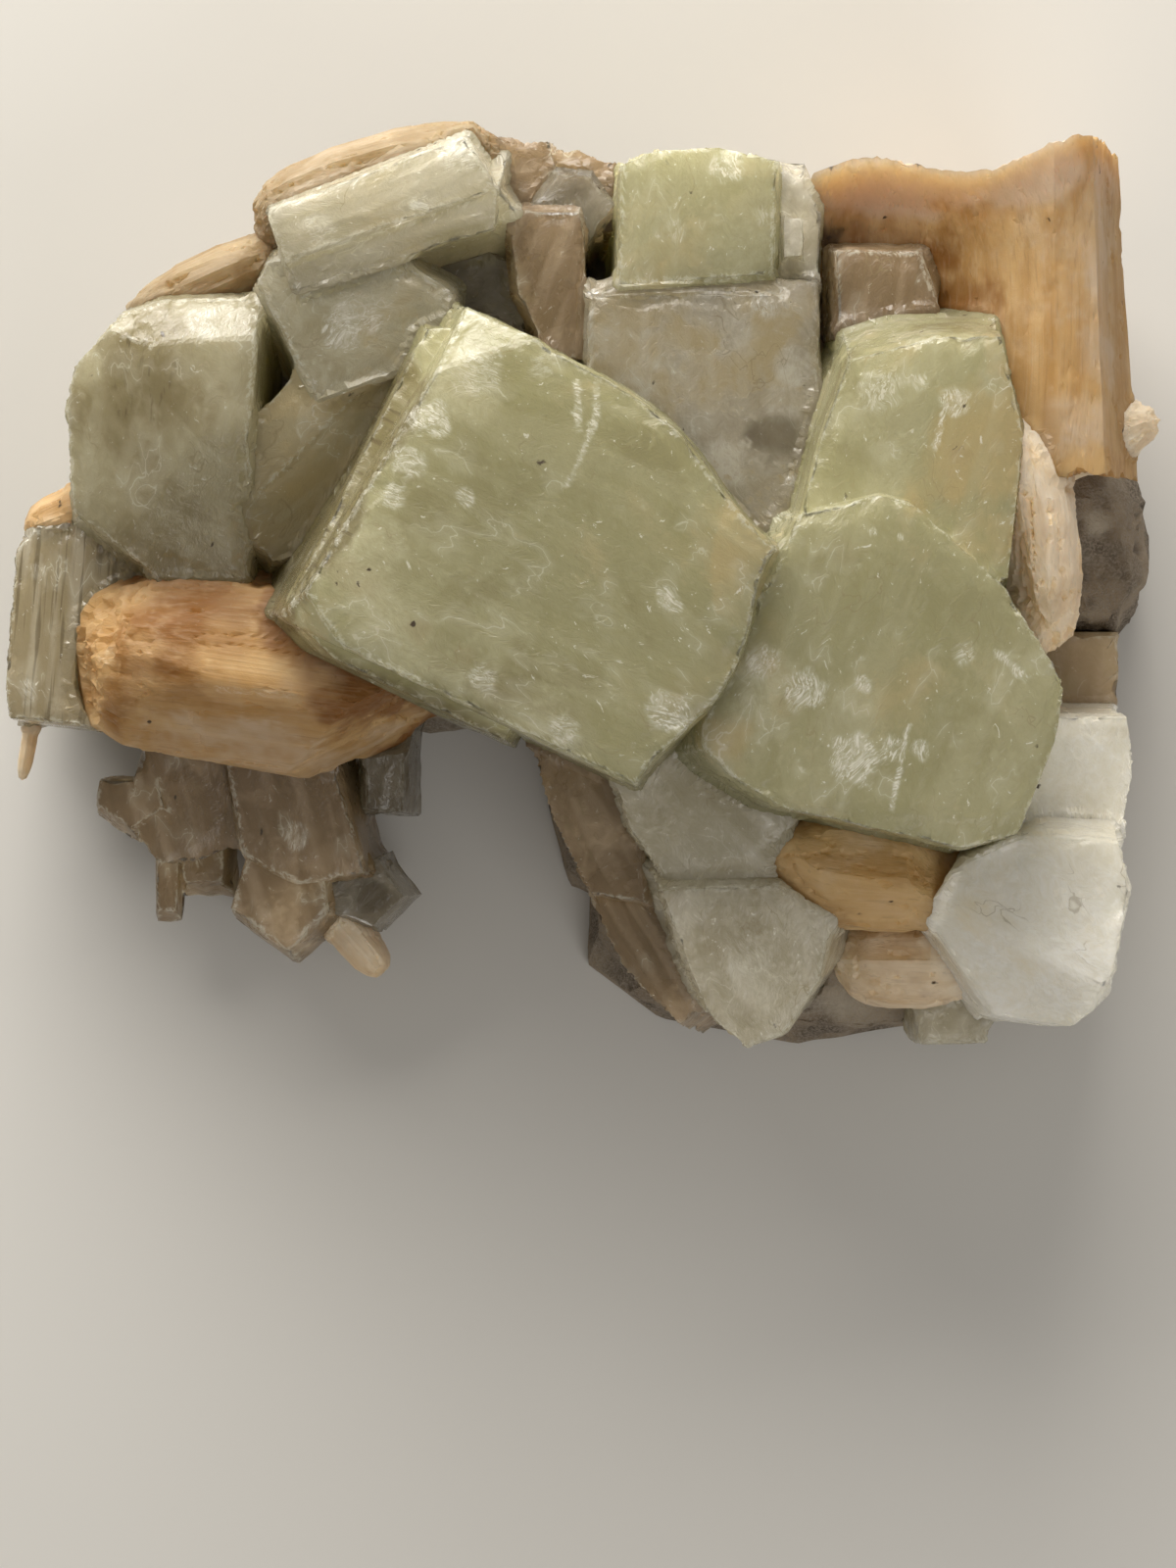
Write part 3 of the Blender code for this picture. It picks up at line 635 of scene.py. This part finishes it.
def marks_group():
    """Marks at a finger's scale: streaky frosty flakes with painted glints inside the bruised
    places, loose white flecks, dark specks in cells that are mostly empty, and rubbed edges.
    Fine is the noise that frays them all."""
    group, start, end = new_group("surface_marks", ("Grain", "Bend"),
                                  ("Bruise", "Stain", "Wear", "Flecks"),
                                  ("White", "Dark", "Rubbed", "Fine"))
    grain = bent_by(group, start.outputs["Grain"], start.outputs["Bend"], 4.0)
    fine = noise_node(group, grain, 0.9, 3.0, 0.75)
    # glints: streaky noise that paints white glints, a painted highlight, in the bruised places
    glints = noise_node(group, stretched(group, grain, (0.45, 2.0, 1.2)), 1.5, 2.0, 0.75)
    frost_and_glints = math_node(group, "MAXIMUM", map_node(group, glints, 0.5, 0.6),
                       map_node(group, fine, 0.35, 0.75, 0.1, 0.7))
    frost_and_glints = math_node(group, "MULTIPLY", frost_and_glints,
                       map_node(group, start.outputs["Bruise"], 0.05, 0.9))
    loose = map_node(group, fine, 0.655, 0.7)
    loose = math_node(group, "MULTIPLY", loose, start.outputs["Flecks"])
    white = math_node(group, "MAXIMUM", frost_and_glints, loose, clamp=True)
    group.links.new(white, end.inputs["White"])
    cells = node_of(group, "TexVoronoi", {"Scale": 0.55, "Vector": grain})
    pick = node_of(group, "SeparateColor", {0: cells.outputs["Color"]})
    near = math_node(group, "MULTIPLY_ADD", fine, 0.5, cells.outputs["Distance"])
    chosen = math_node(group, "GREATER_THAN", pick.outputs[1],
                       map_node(group, start.outputs["Stain"], 0.0, 0.9, 0.985, 0.35))
    spot = map_node(group, near, 0.36, 0.5, 1.0, 0.0)
    group.links.new(math_node(group, "MULTIPLY", spot, chosen), end.inputs["Dark"])
    rubbed = math_node(group, "MULTIPLY", start.outputs["Wear"],
                       map_node(group, fine, 0.35, 0.65, 0.1, 1.3))
    group.links.new(map_node(group, rubbed, 0.25, 0.85), end.inputs["Rubbed"])
    group.links.new(fine, end.inputs["Fine"])
    return group


def striae_group():
    """Lengthwise lines: noise drawn out along the first grain coordinate."""
    group, start, end = new_group("lengthwise_striae", ("Grain",), ("Spacing",), ("Lines",))
    drawn = stretched(group, start.outputs["Grain"], (0.035, 1.0, 1.0))
    scale = math_node(group, "DIVIDE", 1.0, start.outputs["Spacing"])
    group.links.new(noise_node(group, drawn, scale, 2.0, 0.6), end.inputs["Lines"])
    return group


def cracks_group():
    """Fine healed cracks, the borders of big cells bent by slow noise: dark where the kept
    value is high, and pale with a soft veil beside them where it is low."""
    group, start, end = new_group("fine_cracks", ("Grain", "Bend"), ("Kept",),
                                  ("Mask", "Pale"))
    bent = bent_by(group, start.outputs["Grain"], start.outputs["Bend"], 9.0)
    cells = node_of(group, "TexVoronoi", {"Scale": 0.1, "Vector": bent},
                    feature="DISTANCE_TO_EDGE")
    line = map_node(group, cells.outputs["Distance"], 0.003, 0.014, 1.0, 0.0)
    kept = map_node(group, start.outputs["Kept"], 0.5, 0.75)
    group.links.new(math_node(group, "MULTIPLY", line, kept), end.inputs["Mask"])
    beside = map_node(group, cells.outputs["Distance"], 0.0, 0.22, 0.45, 0.0)
    veil = math_node(group, "ADD", beside, line)
    spared = map_node(group, start.outputs["Kept"], 0.28, 0.46, 1.0, 0.0)
    group.links.new(math_node(group, "MULTIPLY", veil, spared), end.inputs["Pale"])
    return group


GROUPS = {"marks": marks_group(), "striae": striae_group(), "cracks": cracks_group()}


# Materials

def place_group(tree, key, **inputs):
    """A shader group in a material, with its inputs set or linked."""
    return node_of(tree, "Group", inputs, node_tree=GROUPS[key]).outputs


def new_look(name):
    """A material's tree and shader, and its piece's values: grain, wear, bruise, stain,
    cloud, streaks, veins and tint."""
    material = bpy.data.materials.new(name)
    material.use_nodes = True
    tree = material.node_tree
    shader = tree.nodes["Principled BSDF"]
    shader.inputs["Metallic"].default_value = 0.0
    values = {}
    for key, parts in (("grain", ()), ("wear", ()), ("marks", ("bruise", "stain", "cloud")),
                       ("shades", ("streaks", "veins", "tint_and_shade"))):
        node = node_of(tree, "Attribute", {}, attribute_name=key)
        values[key] = node.outputs["Fac"] if key == "wear" else node.outputs["Vector"]
        if parts:
            values.update(zip(parts, node_of(tree, "SeparateXYZ", {0: values[key]}).outputs))
    return material, tree, shader, values


def add_bump(tree, shader, height, distance):
    """One Bump node, its distance in millimetres."""
    node = node_of(tree, "Bump", {"Distance": distance * MM, "Height": height})
    tree.links.new(node.outputs["Normal"], shader.inputs["Normal"])


def tinted(tree, colour, layers):
    """A colour with layers laid over it, each (mask, strength, colour)."""
    for mask, strength, over in layers:
        amount = mask if strength == 1.0 else math_node(tree, "MULTIPLY", mask, strength)
        colour = mix_node(tree, amount, colour, over)
    return colour


def place_marks(tree, values, flecks):
    """The surface_marks group, fed from a piece's values."""
    return place_group(tree, "marks", Grain=values["grain"], Bend=values["shades"],
                       Bruise=values["bruise"], Stain=values["stain"], Wear=values["wear"],
                       Flecks=flecks)


def crystal_look(name, deep, milky, painted_shade_colour, clear=None, flecks=0.8, glow=20.0, gloss=0.12,
                 warm=(0.49, 0.385, 0.185), dark_lines=0.7):
    """Apophyllite: clear to milky glassy mineral with veils, white bruises with painted glints,
    rubbed edges, fine cracks and flecks, and painted shade in its dark colour where the tint
    is low. clear is a see-through one's transmission, and its absorption's density and
    colour; a milky one has neither."""
    material, tree, shader, values = new_look(name)
    marks = place_marks(tree, values, flecks)
    striae = place_group(tree, "striae", Grain=values["grain"], Spacing=0.9)
    crack = place_group(tree, "cracks", Grain=values["grain"], Bend=values["shades"],
                        Kept=values["veins"])
    haze = math_node(tree, "MULTIPLY", values["cloud"],
                     map_node(tree, marks["Fine"], 0.3, 0.7, 0.75, 1.25))
    lines = math_node(tree, "MULTIPLY", map_node(tree, striae["Lines"], 0.36, 0.46, 1.0, 0.0),
                      map_node(tree, values["tint_and_shade"], 0.0, 0.15, 1.0, 0.0))
    colour = tinted(tree, deep, [
        (haze, 1.0, milky),
        (map_node(tree, values["tint_and_shade"], 0.5, 1.0), 0.8, warm),
        # painted shade: below a tint of a half the colour darkens towards the look's shade colour
        (map_node(tree, values["tint_and_shade"], 0.0, 0.5, 1.0, 0.0), 0.85, painted_shade_colour),
        (map_node(tree, values["streaks"], 0.5, 0.8), 0.2, milky),
        (lines, dark_lines, (0.14, 0.11, 0.06)),
        (marks["Rubbed"], 0.4, (0.76, 0.75, 0.63)), (values["stain"], 0.3, (0.33, 0.25, 0.13)),
        (crack["Mask"], 0.45, (0.30, 0.24, 0.13)), (crack["Pale"], 0.26, (0.86, 0.84, 0.70)),
        # white frost and painted glints in the bruised places, and loose white flecks
        (marks["White"], 0.72, (0.95, 0.94, 0.84)),
        (marks["Dark"], 1.0, (0.08, 0.06, 0.04))])
    tree.links.new(colour, shader.inputs["Base Color"])
    rough = math_node(tree, "MULTIPLY_ADD", values["cloud"], 0.1, gloss)
    tree.links.new(rough, shader.inputs["Roughness"])
    shader.inputs["IOR"].default_value = APOPHYLLITE_IOR
    shader.subsurface_method = "BURLEY"
    shader.inputs["Subsurface Weight"].default_value = 0.75
    shader.inputs["Subsurface Radius"].default_value = (1.0, 0.95, 0.7)
    shader.inputs["Subsurface Scale"].default_value = glow * MM
    relief = math_node(tree, "MULTIPLY_ADD", striae["Lines"], 0.25,
                       math_node(tree, "MULTIPLY", marks["Fine"], 0.5))
    add_bump(tree, shader, relief, 0.4)
    if clear:
        transmission, density, absorbed = clear
        shader.inputs["Transmission Weight"].default_value = transmission
        volume = node_of(tree, "VolumeAbsorption", {"Color": absorbed, "Density": density})
        tree.links.new(volume.outputs[0], tree.nodes["Material Output"].inputs["Volume"])
    return material


def stilbite_look(name, deep, pale, crust, spacing=0.6, glow=8.0):
    """Stilbite: opaque pearly blades whose colour runs in lengthwise streaks, with a painted
    shade of deep orange where the tint is low, and pinkish white in the crust."""
    material, tree, shader, values = new_look(name)
    marks = place_marks(tree, values, 0.15)
    striae = place_group(tree, "striae", Grain=values["grain"], Spacing=spacing)
    colour = mix_node(tree, map_node(tree, values["streaks"], 0.2, 0.85), deep, pale)
    colour = tinted(tree, colour, [
        (map_node(tree, values["tint_and_shade"], 0.5, 1.0), 0.9, crust),
        # painted shade: deep orange below a tint of a half
        (map_node(tree, values["tint_and_shade"], 0.0, 0.5, 1.0, 0.0), 0.95, (0.20, 0.07, 0.004)),
        (map_node(tree, striae["Lines"], 0.5, 0.75), 0.16, crust),
        (map_node(tree, striae["Lines"], 0.3, 0.42, 1.0, 0.0), 0.25, (0.20, 0.11, 0.05)),
        (values["cloud"], 0.8, crust), (values["stain"], 0.85, (0.07, 0.045, 0.025)),
        # pale frost with painted glints from the bruised places, and loose flecks
        (marks["White"], 0.5, (0.75, 0.66, 0.52)), (marks["Dark"], 1.0, (0.08, 0.05, 0.03))])
    tree.links.new(colour, shader.inputs["Base Color"])
    rough = math_node(tree, "MULTIPLY_ADD", marks["Fine"], 0.2, 0.42)
    tree.links.new(rough, shader.inputs["Roughness"])
    shader.inputs["IOR"].default_value = STILBITE_IOR
    shader.inputs["Specular IOR Level"].default_value = 0.15
    shader.subsurface_method = "BURLEY"
    shader.inputs["Subsurface Weight"].default_value = 0.5
    shader.inputs["Subsurface Radius"].default_value = (1.0, 0.6, 0.3)
    shader.inputs["Subsurface Scale"].default_value = glow * MM
    shader.inputs["Coat Weight"].default_value = 0.05
    shader.inputs["Coat Roughness"].default_value = 0.3
    relief = math_node(tree, "MULTIPLY_ADD", striae["Lines"], 0.7,
                       math_node(tree, "MULTIPLY", marks["Fine"], 0.3))
    add_bump(tree, shader, relief, 0.25)
    return material


def basalt_look():
    """Basalt: dark, fine-grained and pitted, with pale grains and brown weathering, and a
    pale crust in the clouded places where crystals grow on it."""
    material, tree, shader, values = new_look("weathered_basalt")
    marks = place_marks(tree, values, 0.9)
    grit = noise_node(tree, values["grain"], 2.4, 3.0, 0.7)
    colour = mix_node(tree, map_node(tree, values["veins"], 0.3, 0.7), (0.15, 0.118, 0.082),
                      (0.36, 0.28, 0.19))
    colour = tinted(tree, colour, [
        (map_node(tree, grit, 0.42, 0.62), 0.8, (0.36, 0.30, 0.24)),
        (marks["White"], 0.5, (0.62, 0.54, 0.44)), (values["wear"], 0.6, (0.06, 0.045, 0.034)),
        (values["cloud"], 0.95, (0.62, 0.55, 0.44))])
    tree.links.new(colour, shader.inputs["Base Color"])
    tree.links.new(map_node(tree, grit, 0.3, 0.7, 0.95, 0.7), shader.inputs["Roughness"])
    add_bump(tree, shader, math_node(tree, "ADD", grit, marks["Fine"]), 0.5)
    return material


# Each apophyllite look's third colour is its painted shade, used where the tint is low.
LOOKS = {
    "green": crystal_look("green_apophyllite", (0.325, 0.308, 0.155), (0.53, 0.505, 0.335),
                          (0.21, 0.175, 0.085), (0.14, 8.0, (0.80, 0.84, 0.56))),
    "pale": crystal_look("pale_apophyllite", (0.39, 0.345, 0.20), (0.64, 0.60, 0.44),
                         (0.24, 0.19, 0.09), (0.22, 6.0, (0.84, 0.82, 0.60)), flecks=0.5),
    "clear": crystal_look("clear_apophyllite", (0.35, 0.295, 0.19), (0.74, 0.69, 0.56),
                          (0.17, 0.135, 0.08), (0.42, 4.0, (0.86, 0.81, 0.66)), flecks=0.5,
                          gloss=0.06),
    "white": crystal_look("milky_apophyllite", (0.41, 0.365, 0.235), (0.78, 0.74, 0.62),
                          (0.28, 0.225, 0.125), glow=14.0),
    "pink": crystal_look("pinkish_mineral", (0.46, 0.33, 0.185), (0.76, 0.61, 0.44),
                         (0.19, 0.13, 0.068), flecks=0.4, gloss=0.26, glow=14.0,
                         dark_lines=0.15),
    "frosty": crystal_look("frosty_apophyllite", (0.80, 0.74, 0.56), (1.0, 0.99, 0.93),
                           (0.40, 0.33, 0.19), glow=5.0, gloss=0.2, warm=(0.84, 0.72, 0.46)),
    "stilbite": stilbite_look("peach_stilbite", (0.42, 0.235, 0.075), (0.55, 0.35, 0.15),
                              (0.60, 0.465, 0.33)),
    "crust": stilbite_look("pale_stilbite_crust", (0.68, 0.49, 0.28), (0.84, 0.68, 0.48),
                           (0.92, 0.82, 0.68), spacing=0.45, glow=6.0),
    "beige": stilbite_look("beige_stilbite", (0.26, 0.18, 0.09), (0.36, 0.27, 0.155),
                           (0.52, 0.42, 0.30), spacing=0.5, glow=6.0),
    # a lighter copy of the peach stilbite: painted light on the lens, which lies in the right
    # crystal's shadow
    "brightened_stilbite": stilbite_look("stilbite_painted_brighter", (0.56, 0.34, 0.13), (0.70, 0.47, 0.21),
                             (0.78, 0.59, 0.38)),
    "basalt": basalt_look(),
}


# The pieces

# In the pieces below, a tint place with a negative strength and a tone below a half paint shade.
MAIN_BRUISES = [
    (-20.5, 21.5, 3.2, 0.9), (-23.4, 15.6, 3.0, 0.75), (-25.3, 11.5, 2.2, 0.7),
    (-16.0, 11.2, 1.5, 0.8), (-2.3, 25.2, -1.9, 18.8, 0.6, 0.8), (0.0, 24.5, 0.0, 20.6, 0.5, 0.8),
    (0.0, 20.6, -1.0, 16.8, 0.6, 0.8), (-1.0, 16.8, -3.0, 12.0, 0.5, 0.6),
    (10.2, -1.8, 1.8, 0.8), (9.4, -16.3, 3.4, 0.9), (-13.5, -12.9, 2.4, 0.7),
    (-3.0, -19.5, 2.6, 0.6), (-14.0, 27.6, 4.0, 0.55), (-6.0, 28.0, 2.4, 0.4)]
MAIN_STAINS = [(-32.1, 1.4, 2.6, 0.7), (-22.0, -6.2, 2.2, 0.8), (-29.0, 0.0, 3.0, 0.5),
               (-16.0, -9.6, 1.6, 0.6)]
RIGHT_BRUISES = [
    (29.0, -14.2, 3.6, 0.85), (23.7, -10.4, 2.8, 0.7), (35.7, -23.2, 4.2, 1.0),
    (40.4, -21.8, 2.0, 0.9), (44.3, -22.3, 1.7, 0.8), (42.6, -18.9, 40.4, -30.0, 0.45, 0.9),
    (36.6, -13.6, 1.6, 0.8), (39.1, 25.4, 3.6, 0.6), (43.9, 26.8, 1.8, 0.7),
    (48.7, 24.0, 2.4, 0.8), (47.3, 22.4, 46.2, 18.0, 0.5, 0.9),
    (54.5, -9.3, 58.0, -12.6, 0.8, 0.8), (50.1, -9.4, 2.2, 0.6), (37.9, 6.7, 0.8, 0.9),
    (41.4, 6.0, 0.7, 0.9)]
RIGHT_STAINS = [(49.6, 17.0, 1.6, 0.8), (34.3, 4.0, 2.2, 0.35)]

# the two places with negative strength paint shade on the left side and along the lower left band
dress("main_crystal", "green", turn=-27.0, fine=0.9,
      bruises=MAIN_BRUISES, stains=MAIN_STAINS, grooves=0.04,
      clouds=[(-29.0, 4.0, 9.0, 0.6), (-18.0, 25.0, 8.0, 0.5),
              (-27.0, -5.0, -2.0, -20.0, 5.0, 0.45)],
      tint_and_shade_places=[(22.0, 6.0, 12.0, 0.35), (14.0, -12.0, 8.0, 0.2),
             (-27.0, 26.0, -44.0, -2.0, 7.5, -1.5), (-38.0, -10.0, 0.0, -29.0, 3.5, -0.9)],
      swells=[(17.0, -12.0, 17.0, 3.6, -30.0), (9.0, 21.0, 20.0, 3.2, 48.0)])
dress("right_crystal", "green", turn=70.0, fine=0.9,
      bruises=RIGHT_BRUISES, stains=RIGHT_STAINS, steps=0.16, haze=0.25,
      tint_and_shade_places=[(55.0, 16.0, 13.0, 0.9), (40.0, 31.0, 5.0, 0.4), (17.0, -20.0, 5.0, 0.4),
             (21.0, -8.0, 6.0, 0.5)],
      clouds=[(22.0, -12.0, 7.0, 0.9), (35.0, -18.0, 8.0, 0.5), (40.0, 22.0, 8.0, 0.4)],
      rough_sides=[(0.0, 0.0, 1.2, 4.0), (-80.0, 0.0, 0.6, 4.0)])
dress("top_crystal", "green", turn=90.0, haze=0.6, tone_and_shade=0.55,
      bruises=[(19.0, 57.0, 3.0, 0.8), (12.0, 48.0, 2.0, 0.4), (24.0, 50.0, 2.0, 0.5)],
      tint_and_shade_places=[(14.0, 43.0, 7.0, 0.3)], rough_sides=[(90.0, 0.0, 2.6, 4.5)])
dress("middle_crystal", "clear", turn=90.0, haze=0.45, veil=1.0, tone_and_shade=0.62,
      bruises=[(24.0, 38.0, 2.5, 0.6), (29.0, 14.0, 2.6, 0.7), (31.0, 20.0, 1.6, 0.5)],
      clouds=[(3.0, 30.0, 9.0, 1.0), (14.0, 14.0, 9.0, 0.9), (27.0, 27.0, 5.0, 0.8)],
      tint_and_shade_places=[(25.0, 20.0, 5.0, -0.8), (20.0, 34.0, 4.0, -0.5), (28.0, 30.0, 3.0, -0.6),
             (4.0, 33.0, 8.0, 0.4)])
dress("long_prism", "white", turn=19.0, grooves=0.12, tone_and_shade=0.55,
      groove_gap=1.8,
      bruises=[(-36.0, 48.0, 2.6, 0.6), (-17.0, 58.0, 3.4, 0.9), (-22.0, 51.0, 2.0, 0.8)])
dress("tilted_crystal", "pale", turn=19.0, haze=0.55, veil=0.9, tone_and_shade=0.6,
      bruises=[(-33.0, 35.0, 3.6, 0.9), (-29.0, 36.0, 2.4, 0.8)])
dress("side_prism", "pale", turn=42.0, chips=0.15, tone_and_shade=0.75)
dress("dome_crystal", "pale", turn=80.0, tone_and_shade=0.45,
      rough_sides=[(180.0, 0.0, 1.2, 3.5)], bruises=[(-52.0, 36.0, 3.0, 0.6)],
      tint_and_shade_places=[(-58.0, 6.0, 9.0, -0.4), (-60.0, 27.0, 12.0, -0.6)], clouds=[(-60.0, 30.0, 8.0, 0.4)])
# tone 0 paints the slab in shade, and the negative place darkens its left edge further
dress("slab_crystal", "white", turn=85.0, tone_and_shade=0.0, haze=0.05,
      rough_sides=[(180.0, 10.0, 0.4, 3.0)],
      bruises=[(-78.0, -14.0, 2.0, 0.6), (-76.5, 3.0, 1.6, 0.6)],
      tint_and_shade_places=[(-78.5, 6.0, -79.5, -16.0, 3.5, -0.5)])
dress("corner_crystal", "frosty", turn=-35.0, haze=0.95, tone_and_shade=0.6,
      rough_sides=[(0.0, 20.0, 0.8, 4.0)],
      bruises=[(63.0, -47.0, 5.0, 0.6), (70.0, -42.0, 4.0, 0.5)],
      tint_and_shade_places=[(52.0, -44.0, 66.0, -54.0, 3.0, 0.4)])
dress("right_edge_crystal", "frosty", turn=80.0, haze=0.9, tone_and_shade=0.6,
      rough_sides=[(0.0, 0.0, 1.0, 4.0)])
dress("right_edge_stub", "pink", turn=80.0, tone_and_shade=0.6)
dress("lower_front_crystal", "white", turn=-80.0, haze=0.35, tone_and_shade=0.4,
      rough_sides=[(200.0, 0.0, 1.2, 3.0)], bruises=[(22.0, -50.0, 5.0, 0.4)])
dress("lower_back_crystal", "white", turn=-50.0, haze=0.25, tone_and_shade=0.42,
      rough_sides=[(200.0, 0.0, 1.0, 3.0)])
# a low tone paints these lower pieces in shade
dress("lower_left_crystals", "pink", turn=-60.0, tone_and_shade=0.1,
      rough_sides=[(200.0, 10.0, 1.4, 3.5)])
dress("clear_pointed_crystal", "clear", turn=60.0, chips=0.15, tone_and_shade=0.3)
dress("dark_clear_crystal", "clear", turn=30.0, chips=0.15, tone_and_shade=0.45)
dress("top_right_crystals", "white", turn=90.0, haze=0.5,
      rough_sides=[(60.0, 20.0, 0.8, 2.5)])
dress("bottom_edge_crystal", "white", turn=90.0, tone_and_shade=0.4)
# low tones paint the hanging clusters in shade
dress("hanging_cluster_right", "pink", turn=-75.0, tone_and_shade=0.05,
      bruises=[(-41.0, -34.0, 2.4, 0.6)], tint_and_shade_places=[(-42.0, -45.0, 5.0, 0.3)])
dress("hanging_cluster_left", "pink", turn=-80.0, tone_and_shade=0.0, haze=0.15,
      rough_sides=[(-90.0, 20.0, 0.6, 2.5)])
dress("hollow_crystal", "clear", turn=40.0, chips=0.15, tone_and_shade=0.4,
      tint_and_shade_places=[(-30.5, -42.5, 3.0, -0.6)])
dress("small_hanging_crystal", "clear", turn=90.0, chips=0.15, tone_and_shade=0.2)
dress("peach_crystal", "pink", turn=80.0, tone_and_shade=-0.3, haze=0.1)
dress("top_beige_crystal", "pink", turn=70.0, tone_and_shade=0.05)
dress("top_pink_crystals", "pink", turn=10.0, haze=0.1, tone_and_shade=0.15,
      rough_sides=[(90.0, 20.0, 1.4, 3.0)])

# the places with negative strength paint the shadow of the main crystal over the right half
dress("stilbite_bow_tie", "stilbite", turn=-8.0, half=27.0,
      flare=0.15, depth=0.16, ragged=2.4, layers=0.4, haze=0.1, tone_and_shade=0.4,
      flats=[(80.0, 72.0, 13.4), (-98.0, 42.0, 11.6), (150.0, 40.0, 22.0), (-170.0, 15.0, 24.5),
             (-60.0, 15.0, 13.5)],
      tint_and_shade_places=[(-60.0, -21.0, -18.0, -29.0, 5.0, 0.6), (-55.0, -4.0, 12.0, -0.35),
             (-38.0, -4.0, -18.0, -16.0, 8.0, -1.0), (-28.0, -16.0, 11.0, -0.9)],
      bruises=[(-50.0, -14.0, -40.0, -15.0, 1.0, 0.7), (-66.0, -9.0, 2.0, 0.5)])
# the lens is painted lighter, against the shadow that the right crystal casts on it
dress("stilbite_lens", "brightened_stilbite", turn=-8.0, half=14.0, flare=0.1,
      depth=0.12, ragged=0.8, blade=1.8, haze=0.1,
      flats=[(90.0, 65.0, 10.4), (-90.0, 45.0, 9.0), (-140.0, 40.0, 10.5), (20.0, 40.0, 11.5)])
# the places with negative strength paint shade in the hollow below the rim
dress("stilbite_fan", "stilbite", turn=90.0, half=24.0,
      flare=-0.1, depth=0.14, ragged=1.6, blade=1.9, layers=0.3, haze=0.1,
      clouds=[(32.0, 57.0, 62.0, 58.0, 5.5, 0.8)],
      tint_and_shade_places=[(42.0, 44.0, 10.0, -0.8), (50.0, 36.0, 9.0, -0.7), (32.0, 56.0, 62.0, 57.0, 6.5, 0.9),
             (70.0, 30.0, 70.0, 55.0, 4.0, 0.5), (66.0, 22.0, 6.0, 0.6)],
      stains=[(33.5, 48.5, 2.6, 1.0), (33.2, 42.0, 33.4, 30.0, 1.6, 0.9)])
dress("stilbite_crust", "crust", turn=98.0, fine=0.85, half=17.0,
      flare=0.3, depth=0.6, ragged=2.4, layers=0.9, haze=0.7)
dress("stilbite_nub", "crust", turn=22.0, fine=0.6, half=9.0,
      flare=0.1, depth=0.4, ragged=1.0, blade=1.1, haze=0.7)
dress("stilbite_bit", "stilbite", turn=20.0, half=6.5, depth=0.2,
      ragged=0.6)
dress("stilbite_strip", "beige", turn=24.0, half=12.0, ragged=1.4)
dress("stilbite_ridge", "beige", turn=17.0, half=18.0, ragged=1.4,
      tone_and_shade=0.55, tint_and_shade_places=[(-38.0, 54.0, 8.0, 0.5)])
dress("stilbite_bulge", "crust", half=9.0, depth=0.2,
      ragged=0.8, blade=2.2)
dress("pink_stub", "crust", turn=-48.0, fine=0.6, half=6.5,
      depth=0.2, ragged=0.6, layers=0.3)
dress("stilbite_sliver", "crust", turn=80.0, fine=0.5, half=5.5,
      depth=0.12, ragged=0.4, blade=0.6, layers=0.1)
dress("matrix", "basalt", fine=1.5, coarse=2.8, haze=0.0,
      clouds=[(-20.0, 5.0, 24.0, 1.0), (-54.0, 18.0, 20.0, 1.0), (-55.0, -8.0, 20.0, 1.0),
              (10.0, 8.0, 26.0, 1.0), (42.0, 0.0, 26.0, 1.0), (45.0, -40.0, 22.0, 1.0),
              (16.0, 52.0, 12.0, 1.0), (50.0, 35.0, 18.0, 1.0), (72.5, 9.8, 2.6, 1.0)])


# Floor, light and camera

def pale_floor():
    """A wide plain floor, just under the rock."""
    bpy.ops.mesh.primitive_plane_add(size=6.0, location=(0.0, 0.0, -0.0002))
    floor = bpy.context.object
    floor.name = "floor"
    material = bpy.data.materials.new("pale_floor")
    material.use_nodes = True
    shader = material.node_tree.nodes["Principled BSDF"]
    shader.inputs["Base Color"].default_value = (0.74, 0.73, 0.70, 1.0)
    shader.inputs["Roughness"].default_value = 0.75
    floor.data.materials.append(material)


def soft_light(name, place, aim, width, height, power, colour):
    """An area light at a place that looks at a point."""
    lamp = bpy.data.lights.new(name, "AREA")
    lamp.shape = "RECTANGLE"
    lamp.size = width
    lamp.size_y = height
    lamp.energy = power
    lamp.color = colour
    thing = bpy.data.objects.new(name, lamp)
    bpy.context.scene.collection.objects.link(thing)
    away = np.array(place) - np.array(aim)
    turn = math.atan2(away[1], away[0]) + math.pi / 2.0
    lean = math.acos(away[2] / np.linalg.norm(away))
    thing.location = place
    thing.rotation_euler = (lean, 0.0, turn)


def studio():
    """Soft light: a broad panel and a low one on the far side, a fill from the near side, and
    faint warm air."""
    world = bpy.data.worlds.new("soft_air")
    world.use_nodes = True
    air = world.node_tree.nodes["Background"]
    air.inputs["Color"].default_value = (1.0, 0.94, 0.86, 1.0)
    air.inputs["Strength"].default_value = 0.26
    bpy.context.scene.world = world
    soft_light("far_panel", (-0.2, 0.75, 0.42), (0.0, 0.0, 0.03), 0.8, 0.6, 10.5,
               (1.0, 0.95, 0.87))
    soft_light("low_panel", (-0.26, 0.85, 0.15), (0.0, 0.0, 0.06), 0.6, 0.22, 3.5,
               (1.0, 0.99, 0.96))
    soft_light("near_fill", (0.35, -0.6, 0.7), (0.0, 0.0, 0.03), 0.5, 0.5, 1.6,
               (1.0, 0.98, 0.95))
    bpy.context.scene.view_settings.view_transform = "Standard"


def photo_camera():
    """The camera straight above the cluster, looking down."""
    lens = bpy.data.cameras.new("photo_camera")
    lens.lens = 100.0
    lens.sensor_width = 36.0
    lens.clip_start = 0.01
    camera = bpy.data.objects.new("photo_camera", lens)
    camera.location = (0.00024, -0.0266, 0.640)
    bpy.context.scene.collection.objects.link(camera)
    bpy.context.scene.camera = camera


pale_floor()
studio()
photo_camera()
